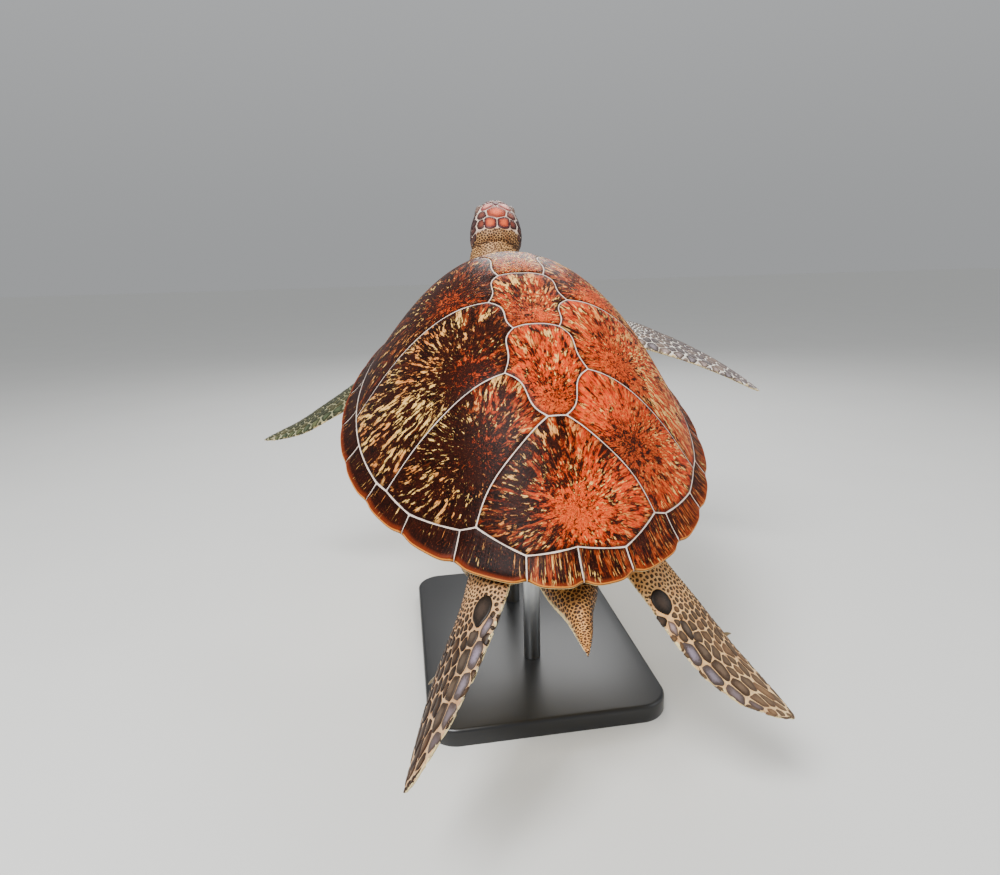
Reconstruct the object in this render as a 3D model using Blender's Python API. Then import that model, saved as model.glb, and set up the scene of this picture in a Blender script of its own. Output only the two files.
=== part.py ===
"""Green sea turtle (Chelonia mydas), life size, in a swimming pose on a display stand.

The turtle is modelled in its own frame: x to its right, y towards its head, z out of
its back, with the origin in the middle of the shell's rim. The empty turtle_pose
holds that frame head-up over the stand. World origin: centre of the base's underside.
"""
import math

import bmesh
import bpy
import numpy as np
from mathutils import Matrix, Vector
from mathutils.geometry import delaunay_2d_cdt

# ---- Pose
BODY_PITCH = 21.7           # head-up tilt of the shell, degrees
BODY_HEIGHT = 0.45          # middle of the rim above the floor
BODY_SHIFT = -0.02          # and behind the middle of the base
HEAD_AT = (0.0380, 0.6160, 0.1565)
HEAD_PITCH = 21.0           # head-up, relative to the shell
HEAD_TURN = -5.0            # about the back's normal, minus is to the right

# ---- Shell
SHELL_LENGTH = 0.85
HALF_LENGTH = SHELL_LENGTH / 2
HALF_WIDTH = 0.318
FRONT_FULLNESS = 0.075      # the plan is a little wider ahead of its middle
END_FULLNESS = -0.082
DOME_RISE = 0.240
DOME_POWER = 2.75           # how long the dome stays level from its top
FLARE_POWER = 1.41          # how far the rim flattens out
FRONT_RISE = 0.313
END_RISE = 0.130
SHEER = 0.063               # rise of the rim at nose and tail
PLATE = 0.014               # thickness of the plates
RIM_PLATE = 0.007           # and at the rim's edge
RIM_NOTCH = 0.016           # notches between the hind marginals, share of the radius
NOTCH_WIDTH = 2.6           # degrees
NOTCH_END = 110             # and the angle from which they are faint
GAP = 0.0003                # clearance kept by pieces that meet
PLAN_STEP = 0.062           # spacing of the inner points of a plate
RIM_START = 0.9             # share of the radius from which the plates thin out

# Corners of the seams that end on the ring of marginals: angle from the tail, radius
MARGINAL_SEAMS = [(0, 0.891), (14.9, 0.918), (33.9, 0.895), (49.8, 0.924), (64.8, 0.921),
                  (80.5, 0.912), (94.8, 0.905), (108.0, 0.900), (120.9, 0.898), (132.9, 0.895),
                  (145.0, 0.890), (156.7, 0.882), (168.2, 0.878), (180.0, 0.885)]
COSTAL_ENDS = [(29.5, 0.873), (60.2, 0.915), (91.7, 0.905), (118.0, 0.896), (159.3, 0.876)]

# Corners of the vertebral plates, right side: (x, y)
V12, V2_SIDE, V23 = (0.047, 0.247), (0.060, 0.187), (0.038, 0.0825)
V3_SIDE, V34 = (0.064, 0.0105), (0.0355, -0.0615)
V4_SIDE, V45 = (0.061, -0.147), (0.0127, -0.225)

# ---- Belly
BELLY_DEPTH = 0.080
BELLY_RADIUS = 0.84         # share of the shell's plan that the belly loop takes
BELLY_FLAT = 0.42           # level part of the belly
BELLY_POWER = 2.3           # roundness of the bowl from there to the flanks
BELLY_ENDS = 0.06           # rise of the belly towards head and tail
UNDER_RIM = [(0.955, 0.0025), (0.945, 0.012)]   # flank loops: radius, drop below the plates
FLANK_TURN = (0.910, 0.35, 0.016)   # loop between rim and belly: radius, share, drop
PLASTRON = 0.011
PLASTRON_OUTLINE = [(0.0, 0.335), (0.075, 0.322), (0.125, 0.278), (0.155, 0.215),
                    (0.222, 0.172), (0.255, 0.085), (0.255, -0.040), (0.220, -0.130),
                    (0.135, -0.170), (0.100, -0.255), (0.052, -0.325), (0.0, -0.340)]

# ---- Stand
BASE_SIZE = (0.40, 0.54, 0.030)
BASE_CORNER = 0.05
BASE_EDGE = 0.006
ROD_RADIUS = 0.015
PAD_RADIUS = 0.032
PAD = 0.008
ROD_AT = 0.115              # distance of each rod's pad from the belly's middle

PARTS = "green_sea_turtle"
CUTTERS = "cutters"


# ---------------------------------------------------------------- scene and helpers
def clear_scene():
    for old in list(bpy.data.objects):
        bpy.data.objects.remove(old)


def collection(name):
    group = bpy.data.collections.new(name)
    bpy.context.scene.collection.children.link(group)
    return group


def material(name, colour, roughness, metallic=0.0):
    mat = bpy.data.materials.new(name)
    mat.use_nodes = True
    shader = mat.node_tree.nodes["Principled BSDF"]
    shader.inputs["Base Color"].default_value = (*colour, 1.0)
    shader.inputs["Roughness"].default_value = roughness
    shader.inputs["Metallic"].default_value = metallic
    mat.diffuse_color = (*colour, 1.0)
    return mat


def mesh_object(name, mesh, mat, parent=None, group=None):
    obj = bpy.data.objects.new(name, mesh)
    (group or parts).objects.link(obj)
    mesh.materials.clear()
    mesh.materials.append(mat)
    obj.parent = parent
    return obj


def mesh_from(points, faces, name="shape"):
    """A mesh with its doubles merged and its faces turned outwards."""
    mesh = bpy.data.meshes.new(name)
    bm = bmesh.new()
    verts = [bm.verts.new(p) for p in points]
    for face in faces:
        bm.faces.new([verts[i] for i in face])
    bmesh.ops.remove_doubles(bm, verts=bm.verts, dist=1e-6)
    bmesh.ops.recalc_face_normals(bm, faces=bm.faces)
    bm.to_mesh(mesh)
    bm.free()
    return mesh


def grown(mesh, amount):
    """A copy of a mesh whose points stand out by amount along their normals."""
    copy = mesh.copy()
    bm = bmesh.new()
    bm.from_mesh(copy)
    bm.normal_update()
    moves = [v.normal * amount for v in bm.verts]
    for vert, move in zip(bm.verts, moves):
        vert.co += move
    bm.to_mesh(copy)
    bm.free()
    return copy


def cutter(name, mesh, parent=None):
    obj = mesh_object(name, mesh, plain, parent, cutters)
    obj.hide_render = True
    obj.display_type = "WIRE"
    return obj


def cut(mesh, tools, operation="DIFFERENCE"):
    """The mesh after a boolean with each tool; only its largest body is kept."""
    obj = mesh_object("cutting", mesh, plain)
    for tool in tools:
        modifier = obj.modifiers.new("cut", "BOOLEAN")
        modifier.operation = operation
        modifier.object = tool
    result = bpy.data.meshes.new_from_object(obj.evaluated_get(bpy.context.evaluated_depsgraph_get()))
    bpy.data.objects.remove(obj)
    return largest_body(result)


def largest_body(mesh):
    bm = bmesh.new()
    bm.from_mesh(mesh)
    bmesh.ops.remove_doubles(bm, verts=bm.verts, dist=2e-5)
    bmesh.ops.dissolve_degenerate(bm, edges=bm.edges, dist=2e-5)
    bmesh.ops.triangulate(bm, faces=bm.faces)
    bodies, seen = [], set()
    for start in bm.verts:
        if start in seen:
            continue
        body, queue = set(), [start]
        seen.add(start)
        while queue:
            vert = queue.pop()
            body.add(vert)
            for edge in vert.link_edges:
                other = edge.other_vert(vert)
                if other not in seen:
                    seen.add(other)
                    queue.append(other)
        bodies.append(body)
    bodies.sort(key=len)
    for body in bodies[:-1]:
        bmesh.ops.delete(bm, geom=list(body), context="VERTS")
    bm.to_mesh(mesh)
    bm.free()
    return mesh


# ---------------------------------------------------------------- shell surface
def half_width(t):
    return HALF_WIDTH * (1 + FRONT_FULLNESS * t + END_FULLNESS * t * t)


def polar(angle, radius):
    """Plan point at an angle from the tail (right is positive) and a share of the rim."""
    turn = math.radians(angle)
    t = -radius * math.cos(turn)
    return radius * math.sin(turn) * half_width(t), t * HALF_LENGTH


def plan_radius(x, y):
    t = y / HALF_LENGTH
    return math.hypot(x / half_width(t), t)


def dome(x, y):
    t = y / HALF_LENGTH
    inward = max(1 - plan_radius(x, y) ** DOME_POWER, 0.0)
    rise = DOME_RISE * (1 + FRONT_RISE * t + END_RISE * t * t)
    return rise * inward ** FLARE_POWER + SHEER * t * t


def plate_thickness(x, y):
    share = min(max((plan_radius(x, y) - RIM_START) / (1 - RIM_START), 0.0), 1.0)
    return PLATE + (RIM_PLATE - PLATE) * share


def under_plate(x, y):
    return dome(x, y) - plate_thickness(x, y)


def belly(x, y):
    """Level in the middle, then bowl-shaped up to the flanks."""
    t = y / HALF_LENGTH
    bowl = max(plan_radius(x, y) - BELLY_FLAT, 0.0) / (1 - BELLY_FLAT)
    ends = max(abs(t) - BELLY_FLAT, 0.0)
    return -BELLY_DEPTH * (1 - bowl ** BELLY_POWER) + BELLY_ENDS * ends * ends


# ---------------------------------------------------------------- seams
def ring_table():
    half = sorted(MARGINAL_SEAMS + COSTAL_ENDS)
    middles = []
    for (a, _), (b, _) in zip(MARGINAL_SEAMS, MARGINAL_SEAMS[1:]):
        middle = (a + b) / 2
        if all(abs(middle - c) > 3 for c, _ in COSTAL_ENDS):
            middles.append(middle)
    angles, radii = zip(*half)
    half = sorted(half + [(m, float(np.interp(m, angles, radii))) for m in middles])
    table = {}
    for angle, radius in half:
        table[angle] = radius
        table[(-angle) % 360] = radius
    return table


RING = ring_table()
RING_ANGLES = sorted(RING)


def ring_run(first, last):
    """Points of the ring from one angle to a larger one; both may pass 360."""
    angles = [a + turn for turn in (-360, 0, 360) for a in RING_ANGLES]
    chosen = [a for a in sorted(angles) if first - 0.01 <= a <= last + 0.01]
    return [polar(a, RING[min(RING, key=lambda k: abs(k - a % 360))]) for a in chosen]


def rim_radius(angle):
    """The rim's radius, with its notches at the seams of the hind marginals."""
    angle = abs((angle + 180) % 360 - 180)
    nearest = min(abs(angle - a) for a, _ in MARGINAL_SEAMS)
    depth = RIM_NOTCH * min(max((NOTCH_END - angle) / 80, 0.12), 1.0)
    return 1.0 + 0.3 * depth - depth * math.exp(-(nearest / NOTCH_WIDTH) ** 2)


def rim_run(first, last, count=4):
    return [polar(a, rim_radius(a)) for a in np.linspace(first, last, count + 1)]


def seam(start, end, bow=0.0, count=3):
    """A seam between two corners, bowed to its left by a share of its length."""
    (x0, y0), (x1, y1) = start, end
    points = []
    for step in range(count + 1):
        share = step / count
        lift = 4 * bow * share * (1 - share)
        points.append((x0 + (x1 - x0) * share - (y1 - y0) * lift,
                       y0 + (y1 - y0) * share + (x1 - x0) * lift))
    return points


def mirrored(points):
    return [(-x, y) for x, y in reversed(points)]


def chain(*runs):
    """One closed outline from runs that end where the next begins."""
    outline = []
    for run in runs:
        outline.extend(run[:-1])
    return outline


def costal_end(index):
    angle, radius = COSTAL_ENDS[index]
    return polar(angle, radius)


def seam_set():
    """The right side's inner seams, each listed once, from the middle outwards."""
    return {
        "v12": seam((-V12[0], V12[1]), V12, 0.03, 2),
        "v23": seam((-V23[0], V23[1]), V23, 0.05, 2),
        "v34": seam((-V34[0], V34[1]), V34, 0.06, 2),
        "v45": seam((-V45[0], V45[1]), V45, 0.0, 1),
        "v1_side": seam(V12, costal_end(4), -0.06),
        "v2_front": seam(V12, V2_SIDE, 0.0, 1),
        "v2_rear": seam(V2_SIDE, V23, 0.02, 2),
        "v3_front": seam(V23, V3_SIDE, 0.0, 1),
        "v3_rear": seam(V3_SIDE, V34, 0.02, 2),
        "v4_front": seam(V34, V4_SIDE, 0.02, 2),
        "v4_rear": seam(V4_SIDE, V45, 0.0, 2),
        "v5_side": seam(V45, costal_end(0), 0.03, 4),
        "c12": seam(V2_SIDE, costal_end(3), 0.02, 4),
        "c23": seam(V3_SIDE, costal_end(2), 0.02, 4),
        "c34": seam(V4_SIDE, costal_end(1), 0.04, 4),
    }


def plate_outlines():
    """Every plate's outline in plan, anticlockwise or clockwise as it falls."""
    s = seam_set()
    v5_angle, c34_angle, c23_angle, c12_angle, v1_angle = [a for a, _ in COSTAL_ENDS]
    outlines = {
        "vertebral_1": chain(s["v12"], s["v1_side"], ring_run(v1_angle, 360 - v1_angle),
                             mirrored(s["v1_side"])),
        "vertebral_2": hexagon(s["v12"], s["v2_front"], s["v2_rear"], s["v23"]),
        "vertebral_3": hexagon(s["v23"], s["v3_front"], s["v3_rear"], s["v34"]),
        "vertebral_4": hexagon(s["v34"], s["v4_front"], s["v4_rear"], s["v45"]),
        "vertebral_5": chain(s["v45"], s["v5_side"], ring_run(-v5_angle, v5_angle)[::-1],
                             mirrored(s["v5_side"])),
    }
    costals = [
        chain(s["v1_side"][::-1], s["v2_front"], s["c12"], ring_run(c12_angle, v1_angle)),
        chain(s["c12"][::-1], s["v2_rear"], s["v3_front"], s["c23"],
              ring_run(c23_angle, c12_angle)),
        chain(s["c23"][::-1], s["v3_rear"], s["v4_front"], s["c34"],
              ring_run(c34_angle, c23_angle)),
        chain(s["c34"][::-1], s["v4_rear"], s["v5_side"], ring_run(v5_angle, c34_angle)),
    ]
    for number, outline in enumerate(costals, 1):
        outlines[f"costal_right_{number}"] = outline
        outlines[f"costal_left_{number}"] = mirrored(outline)
    seams = [a for a, _ in MARGINAL_SEAMS[:-1]]
    for number, (rear, front) in enumerate(zip(seams[:-1], seams[1:])):
        name = f"marginal_{{}}_{12 - number}" if number else "supracaudal_{}"
        outlines[name.format("right")] = rim_plate(rear, front)
        outlines[name.format("left")] = mirrored(rim_plate(rear, front))
    outlines["nuchal"] = rim_plate(seams[-1], 360 - seams[-1])
    return outlines


def rim_plate(first, last):
    """The outline of the rim's plate between two angles."""
    return chain(ring_run(first, last), rim_seam(last), rim_run(first, last)[::-1],
                 rim_seam(first)[::-1])


def rim_seam(angle):
    """The seam at an angle, from the ring of marginals out to the rim."""
    ring_end = ring_run(angle, angle)[0]
    return seam(ring_end, polar(angle, rim_radius(angle)), 0, 2)


def hexagon(front, side_front, side_rear, rear):
    return chain(front, side_front, side_rear, rear[::-1], mirrored(side_rear),
                 mirrored(side_front))


# ---------------------------------------------------------------- plates
def signed_area(outline):
    x, y = np.array(outline).T
    return float(np.sum(x * np.roll(y, -1) - np.roll(x, -1) * y)) / 2


def shrunk(outline, amount):
    """An anticlockwise outline moved inwards by amount on all its sides."""
    points = np.array(outline)
    ahead = np.roll(points, -1, 0) - points
    ahead /= np.linalg.norm(ahead, axis=1)[:, None]
    behind = np.roll(ahead, 1, 0)
    normal_a = np.stack([-ahead[:, 1], ahead[:, 0]], 1)
    normal_b = np.stack([-behind[:, 1], behind[:, 0]], 1)
    middle = normal_a + normal_b
    middle /= np.sum(middle * normal_a, axis=1)[:, None]
    return [tuple(p) for p in points + amount * middle]


def inside(outline, points, margin):
    """Those of the points that lie inside an outline, clear of its edge."""
    corners = np.array(outline)
    along = np.roll(corners, -1, 0) - corners
    kept = []
    for point in points:
        offset = np.array(point) - corners
        share = np.clip(np.sum(offset * along, 1) / np.sum(along * along, 1), 0, 1)
        away = np.linalg.norm(along * share[:, None] - offset, axis=1).min()
        ends = corners[:, 1] + along[:, 1]
        crosses = (corners[:, 1] > point[1]) != (ends > point[1])
        rise = np.where(crosses, along[:, 1], 1)
        met = corners[:, 0] + offset[:, 1] / rise * along[:, 0]
        if np.sum(crosses & (met > point[0])) % 2 == 1 and away > margin:
            kept.append(point)
    return kept


def inner_points(outline, step, margin):
    """Points of a triangular grid that lie inside an outline, clear of its edge."""
    low, high = np.min(outline, 0), np.max(outline, 0)
    rows = max(int((high[1] - low[1]) / (step * 0.87)), 1)
    grid = []
    for row in range(rows + 1):
        y = low[1] + (high[1] - low[1]) * row / rows
        start = low[0] + step / 4 + step / 2 * (row % 2)
        grid += [(float(x), float(y)) for x in np.arange(start, high[0], step)]
    return inside(outline, grid, margin)


def filled(outline, inner, rings=()):
    """Triangles over an outline, its inner points and any closed rings inside it."""
    points = [Vector(p) for p in outline] + [Vector(p) for p in inner]
    edges = [(i, (i + 1) % len(outline)) for i in range(len(outline))]
    for ring in rings:
        base = len(points)
        points += [Vector(p) for p in ring]
        edges += [(base + i, base + (i + 1) % len(ring)) for i in range(len(ring))]
    verts, _, faces, *_ = delaunay_2d_cdt(points, edges, [], 1, 1e-7)
    return [tuple(v) for v in verts], [list(f) for f in faces]


def slab(outline, top, bottom, inner):
    """A closed plate over an outline, between two height functions."""
    plan, triangles = filled(outline, inner)
    count = len(plan)
    points = [(x, y, top(x, y)) for x, y in plan] + [(x, y, bottom(x, y)) for x, y in plan]
    faces = [list(t) for t in triangles] + [[i + count for i in reversed(t)] for t in triangles]
    rim = len(outline)
    for i in range(rim):
        j = (i + 1) % rim
        faces.append([j, i, i + count, j + count])
    return points, faces


def plate_inner(name, outline):
    if name.startswith(("vertebral", "costal")):
        return inner_points(outline, PLAN_STEP, PLAN_STEP * 0.35)
    return [tuple(np.mean(outline, 0))]


def plate_mesh(name, outline):
    if signed_area(outline) < 0:
        outline = outline[::-1]
    points, faces = slab(shrunk(outline, GAP), dome, under_plate, plate_inner(name, outline))
    return mesh_from(points, faces, name)


def carapace_cutter(outlines):
    """The whole upper shell as one closed piece, a little larger than its plates."""
    inner = []
    for name, outline in outlines.items():
        inner += plate_inner(name, outline) + outline
    inner = [p for p in inner if plan_radius(*p) < 0.96]
    unique = list({(round(x, 6), round(y, 6)): (x, y) for x, y in inner}.values())
    seams = [a for a, _ in MARGINAL_SEAMS[:-1]]
    right = []
    for first, last in zip(seams, seams[1:]):
        right += rim_run(first, last)[:-1]
    front = rim_run(seams[-1], 360 - seams[-1])[:-1]
    rim = right + front + mirrored(right)
    edge = shrunk(rim[:-1], -2 * GAP)
    points, faces = slab(edge, lambda x, y: dome(x, y) + 2 * GAP,
                         lambda x, y: under_plate(x, y) - 2 * GAP, unique)
    return cutter("carapace_cutter", mesh_from(points, faces), turtle)


# ---------------------------------------------------------------- trunk and belly
def trunk_loop(radius, height):
    return [(*polar(a, radius), height(*polar(a, radius))) for a in RING_ANGLES]


def trunk_mesh(outlines):
    """The body under the plates: their underside, the flanks and the belly."""
    points, faces = [], []

    def add(new_points, new_faces):
        base = len(points)
        points.extend(new_points)
        faces.extend([[i + base for i in face] for face in new_faces])

    for name, outline in outlines.items():
        if name.startswith(("vertebral", "costal")):
            plan, triangles = filled(outline, plate_inner(name, outline))
            add([(x, y, under_plate(x, y) - GAP) for x, y in plan], triangles)
    ring = [polar(a, RING[a]) for a in RING_ANGLES]
    radius, share, drop = FLANK_TURN
    loops = [[(x, y, under_plate(x, y) - GAP) for x, y in ring]]
    loops += [trunk_loop(r, lambda x, y, d=d: under_plate(x, y) - d) for r, d in UNDER_RIM]
    loops += [trunk_loop(radius, lambda x, y: share * (dome(x, y) - drop)
                         + (1 - share) * belly(x, y)),
              trunk_loop(BELLY_RADIUS, belly)]
    count = len(ring)
    for upper, lower in zip(loops, loops[1:]):
        add(upper + lower, [[i, (i + 1) % count, (i + 1) % count + count, i + count]
                            for i in range(count)])
    edge = [polar(a, BELLY_RADIUS) for a in RING_ANGLES]
    plan, triangles = filled(edge, plastron_inner(), [plastron_outline()])
    add([(x, y, belly(x, y)) for x, y in plan], triangles)
    return mesh_from(points, faces)


def plastron_outline():
    right = PLASTRON_OUTLINE
    return right[::-1] + [(-x, y) for x, y in right[1:-1]]


def plastron_inner():
    """Inner points of the belly: a level ring, a ring on the bowl and the middle."""
    level = [polar(a, BELLY_FLAT) for a in range(0, 360, 30)]
    bowl = [polar(a, (BELLY_FLAT + BELLY_RADIUS) / 2) for a in range(15, 360, 30)]
    return level + inside(plastron_outline(), bowl, 0.02) + [(0.0, 0.0)]


def plastron_mesh():
    outline = plastron_outline()
    if signed_area(outline) < 0:
        outline.reverse()
    points, faces = slab(outline, lambda x, y: belly(x, y) - GAP,
                         lambda x, y: belly(x, y) - PLASTRON, plastron_inner())
    return mesh_from(points, faces)


# ---------------------------------------------------------------- lofted flesh
def curve_point(points, share):
    """A point on a smooth curve through the given points."""
    points = np.array(points, float)
    padded = np.vstack([2 * points[0] - points[1], points, 2 * points[-1] - points[-2]])
    spans = len(points) - 1
    place = min(max(share, 0.0), 1.0) * spans
    index = min(int(place), spans - 1)
    u = place - index
    a, b, c, d = padded[index:index + 4]
    return 0.5 * (2 * b + (c - a) * u + (2 * a - 5 * b + 4 * c - d) * u * u
                  + (3 * b - a - 3 * c + d) * u ** 3)


def tube(sections):
    """A closed skin over sections of equal count, its ends closed by a middle point."""
    count = len(sections[0])
    points = [p for section in sections for p in section]
    faces = []
    for row in range(len(sections) - 1):
        for i in range(count):
            a, b = row * count + i, row * count + (i + 1) % count
            faces.append([a, b, b + count, a + count])
    for row, section in ((0, sections[0]), (len(sections) - 1, sections[-1])):
        middle = len(points)
        points.append(tuple(np.mean(section, 0)))
        faces += [[row * count + i, row * count + (i + 1) % count, middle] for i in range(count)]
    return mesh_from(points, faces)


def blade_section(centre, lead_axis, normal, lead, trail, thick, count):
    """A wing-like section: a round leading edge and a thin trailing edge."""
    section = []
    for step in range(count):
        turn = 2 * math.pi * step / count
        across, up = math.cos(turn), math.sin(turn)
        reach = lead * across if across > 0 else trail * across
        taper = 1.0 if across > 0 else 1.0 - 0.45 * across * across
        section.append(tuple(centre + lead_axis * reach + normal * (thick * up * taper)))
    return section


def blade_frame(limb, share):
    """A limb's middle, its axis towards the leading edge and its upper side's normal."""
    centre = curve_point(limb["path"], share)
    along = curve_point(limb["path"], share + 0.01) - curve_point(limb["path"], share - 0.01)
    along /= np.linalg.norm(along)
    axis = np.array(limb["lead"], float)
    axis -= along * np.dot(axis, along)
    axis /= np.linalg.norm(axis)
    normal = np.cross(along, axis)
    normal *= 1 if normal[2] > 0 else -1
    root_roll, tip_roll = limb["roll"]
    turn = math.radians(root_roll + (tip_roll - root_roll) * share)
    axis, normal = (axis * math.cos(turn) - normal * math.sin(turn),
                    normal * math.cos(turn) + axis * math.sin(turn))
    return centre, along, axis, normal


def blade_sizes(limb, share):
    """Reach of the leading edge and of the trailing edge, and half the thickness."""
    table = np.array(limb["profile"])
    return [float(np.interp(share, table[:, 0], table[:, k])) for k in (1, 2, 3)]


def flipper(limb, count=12, rows=11):
    sections = []
    for share in np.linspace(0, 1, rows) ** 0.9:
        centre, _, axis, normal = blade_frame(limb, share)
        sections.append(blade_section(centre, axis, normal, *blade_sizes(limb, share), count))
    return tube(sections)


def claw(limb, share, length=0.017, radius=0.0045):
    """The horn claw on a flipper's leading edge: curved, bent towards the tip."""
    centre, along, axis, normal = blade_frame(limb, share)
    lead = blade_sizes(limb, share)[0]
    root = centre + axis * (lead - 0.006)
    sections = []
    for part in (0.0, 0.35, 0.65, 0.88, 1.0):
        place = root + axis * (length * part) + along * (0.5 * length * part * part)
        size = radius * (1 - part) ** 0.6 + 0.0004
        sections.append([tuple(place + size * (along * math.cos(a) + 0.7 * normal * math.sin(a)))
                         for a in np.linspace(0, 2 * math.pi, 8, endpoint=False)])
    return tube(sections)


# Profile rows: share of the length, leading reach, trailing reach, half thickness
FORE_PROFILE = [(0.0, .052, .052, .030), (0.15, .056, .054, .024), (0.30, .056, .060, .018),
                (0.45, .050, .060, .013), (0.60, .042, .053, .010), (0.75, .031, .042, .008),
                (0.88, .019, .028, .006), (0.96, .009, .014, .004), (1.0, .002, .003, .0015)]
HIND_PROFILE = [(0.0, .040, .038, .028), (0.15, .038, .037, .022), (0.30, .040, .042, .016),
                (0.45, .044, .050, .012), (0.60, .044, .052, .009), (0.75, .036, .044, .007),
                (0.88, .022, .028, .005), (0.96, .010, .014, .004), (1.0, .002, .003, .0015)]

LIMBS = {
    "fore_flipper_right": {
        "path": [(0.165, 0.325, -0.030), (0.275, 0.318, 0.012), (0.373, 0.277, 0.000),
                 (0.475, 0.228, -0.030), (0.570, 0.177, -0.072)],
        "profile": FORE_PROFILE, "lead": (0.2, 1.0, 0.0), "roll": (2, 4), "claw": 0.52},
    "fore_flipper_left": {
        "path": [(-0.165, 0.325, -0.032), (-0.262, 0.288, -0.064), (-0.357, 0.281, -0.120),
                 (-0.441, 0.312, -0.187), (-0.533, 0.349, -0.245)],
        "profile": FORE_PROFILE, "lead": (-0.2, 1.0, 0.0), "roll": (14, 20), "claw": 0.52},
    "hind_flipper_right": {
        "path": [(0.085, -0.285, 0.010), (0.134, -0.380, -0.022), (0.203, -0.460, -0.085),
                 (0.291, -0.520, -0.140)],
        "profile": HIND_PROFILE, "lead": (1.0, 0.9, 0.0), "roll": (5, 10), "claw": 0.62},
    "hind_flipper_left": {
        "path": [(-0.085, -0.290, 0.010), (-0.124, -0.395, 0.005), (-0.178, -0.490, -0.031),
                 (-0.232, -0.576, -0.081)],
        "profile": HIND_PROFILE, "lead": (-1.0, 0.55, 0.0), "roll": (40, 55), "claw": 0.62},
}

# Neck and tail, rows: x of the middle, top (y, z), bottom (y, z), half width
NECK_ROWS = [(0.000, 0.270, 0.026, 0.262, -0.086, .124), (0.003, 0.350, 0.029, 0.350, -0.095, .120),
             (0.008, 0.405, 0.038, 0.432, -0.087, .111), (0.014, 0.440, 0.062, 0.502, -0.056, .095),
             (0.020, 0.466, 0.092, 0.553, -0.010, .074), (0.026, 0.492, 0.125, 0.587, 0.044, .0625),
             (0.031, 0.519, 0.150, 0.604, 0.082, .0575), (0.035, 0.547, 0.164, 0.607, 0.103, .046)]
TAIL_ROWS = [(0.000, -0.290, 0.024, -0.290, -0.048, .055), (0.001, -0.373, 0.028, -0.373, -0.036, .045),
             (0.000, -0.420, 0.024, -0.420, -0.025, .030), (-.001, -0.453, 0.013, -0.451, -0.015, .016),
             (-.003, -0.480, -0.004, -0.480, -0.008, .002)]


def round_limb(rows, count=14, steps=10):
    """A neck or tail: oval sections that stand on the lines of its top and bottom."""
    sections = []
    for share in np.linspace(0, 1, steps):
        x, top_y, top_z, bottom_y, bottom_z, wide = curve_point(rows, share)
        middle = np.array([x, (top_y + bottom_y) / 2, (top_z + bottom_z) / 2])
        up = np.array([0, (top_y - bottom_y) / 2, (top_z - bottom_z) / 2])
        side = np.array([wide, 0, 0])
        sections.append([tuple(middle + side * math.cos(a) + up * math.sin(a))
                         for a in np.linspace(0, 2 * math.pi, count, endpoint=False)])
    return tube(sections)


# ---------------------------------------------------------------- head
HEAD_ROWS = [  # place, half width, top, bottom
    (-0.088, .040, .033, -.030), (-0.078, .051, .0445, -.039), (-0.059, .0595, .0505, -.048),
    (-0.035, .0612, .0525, -.052), (-0.010, .0585, .0520, -.053), (0.012, .0530, .0490, -.052),
    (0.034, .0465, .0430, -.049), (0.051, .0370, .0340, -.045), (0.065, .0270, .0225, -.039),
    (0.074, .0170, .0100, -.033), (0.078, .0070, -.0040, -.024)]
HEAD_SQUARENESS = 0.82
EYE_AT = (0.0345, 0.032, 0.012)
EYE_RADIUS = 0.0150
UPPER_BEAK = [(0.100, 0.006), (0.062, 0.000), (0.030, -0.011), (0.006, -0.0262), (0.035, -0.0248),
              (0.100, -0.0262)]
LOWER_BEAK = [(0.100, -0.0268), (0.035, -0.0254), (0.006, -0.0268), (0.010, -0.036),
              (0.040, -0.041), (0.100, -0.043)]


def head_mesh(count=16):
    sections = []
    for place, wide, top, bottom in HEAD_ROWS:
        middle = bottom + 0.46 * (top - bottom)
        section = []
        for a in np.linspace(0, 2 * math.pi, count, endpoint=False):
            c, s = math.cos(a), math.sin(a)
            x = wide * math.copysign(abs(c) ** HEAD_SQUARENESS, c)
            reach = (top - middle) if s > 0 else (middle - bottom)
            rise = reach * math.copysign(abs(s) ** HEAD_SQUARENESS, s)
            section.append((x, place, middle + rise))
        sections.append(section)
    return tube(sections)


def prism(outline, wide=0.09):
    """A block through the whole head with the given side outline (place, height)."""
    count = len(outline)
    points = [(-wide, y, z) for y, z in outline] + [(wide, y, z) for y, z in outline]
    faces = [list(range(count)), list(range(2 * count - 1, count - 1, -1))]
    faces += [[i, (i + 1) % count, (i + 1) % count + count, i + count] for i in range(count)]
    return mesh_from(points, faces)


def ball(centre, radius, segments=14, rings=9):
    bm = bmesh.new()
    bmesh.ops.create_uvsphere(bm, u_segments=segments, v_segments=rings, radius=radius)
    turn = Matrix.Rotation(math.pi / 2, 4, "Y")
    bmesh.ops.transform(bm, matrix=Matrix.Translation(centre) @ turn, verts=bm.verts)
    mesh = bpy.data.meshes.new("ball")
    bm.to_mesh(mesh)
    bm.free()
    return mesh


def fitted(mesh, tools, frame, operation="DIFFERENCE"):
    """The mesh, given in a frame of its own, cut by tools that stand in the world."""
    mesh = mesh.copy()
    mesh.transform(frame.matrix_world)
    mesh = cut(mesh, tools, operation)
    mesh.transform(frame.matrix_world.inverted())
    return mesh


def beak_piece(outline):
    """What lies within an outline of the head, a gap short of the cut that frees it."""
    tool = cutter("beak_cutter", grown(prism(outline), -GAP), head_frame)
    bpy.context.view_layer.update()
    return fitted(whole_head, [tool], head_frame, "INTERSECT")


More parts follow.
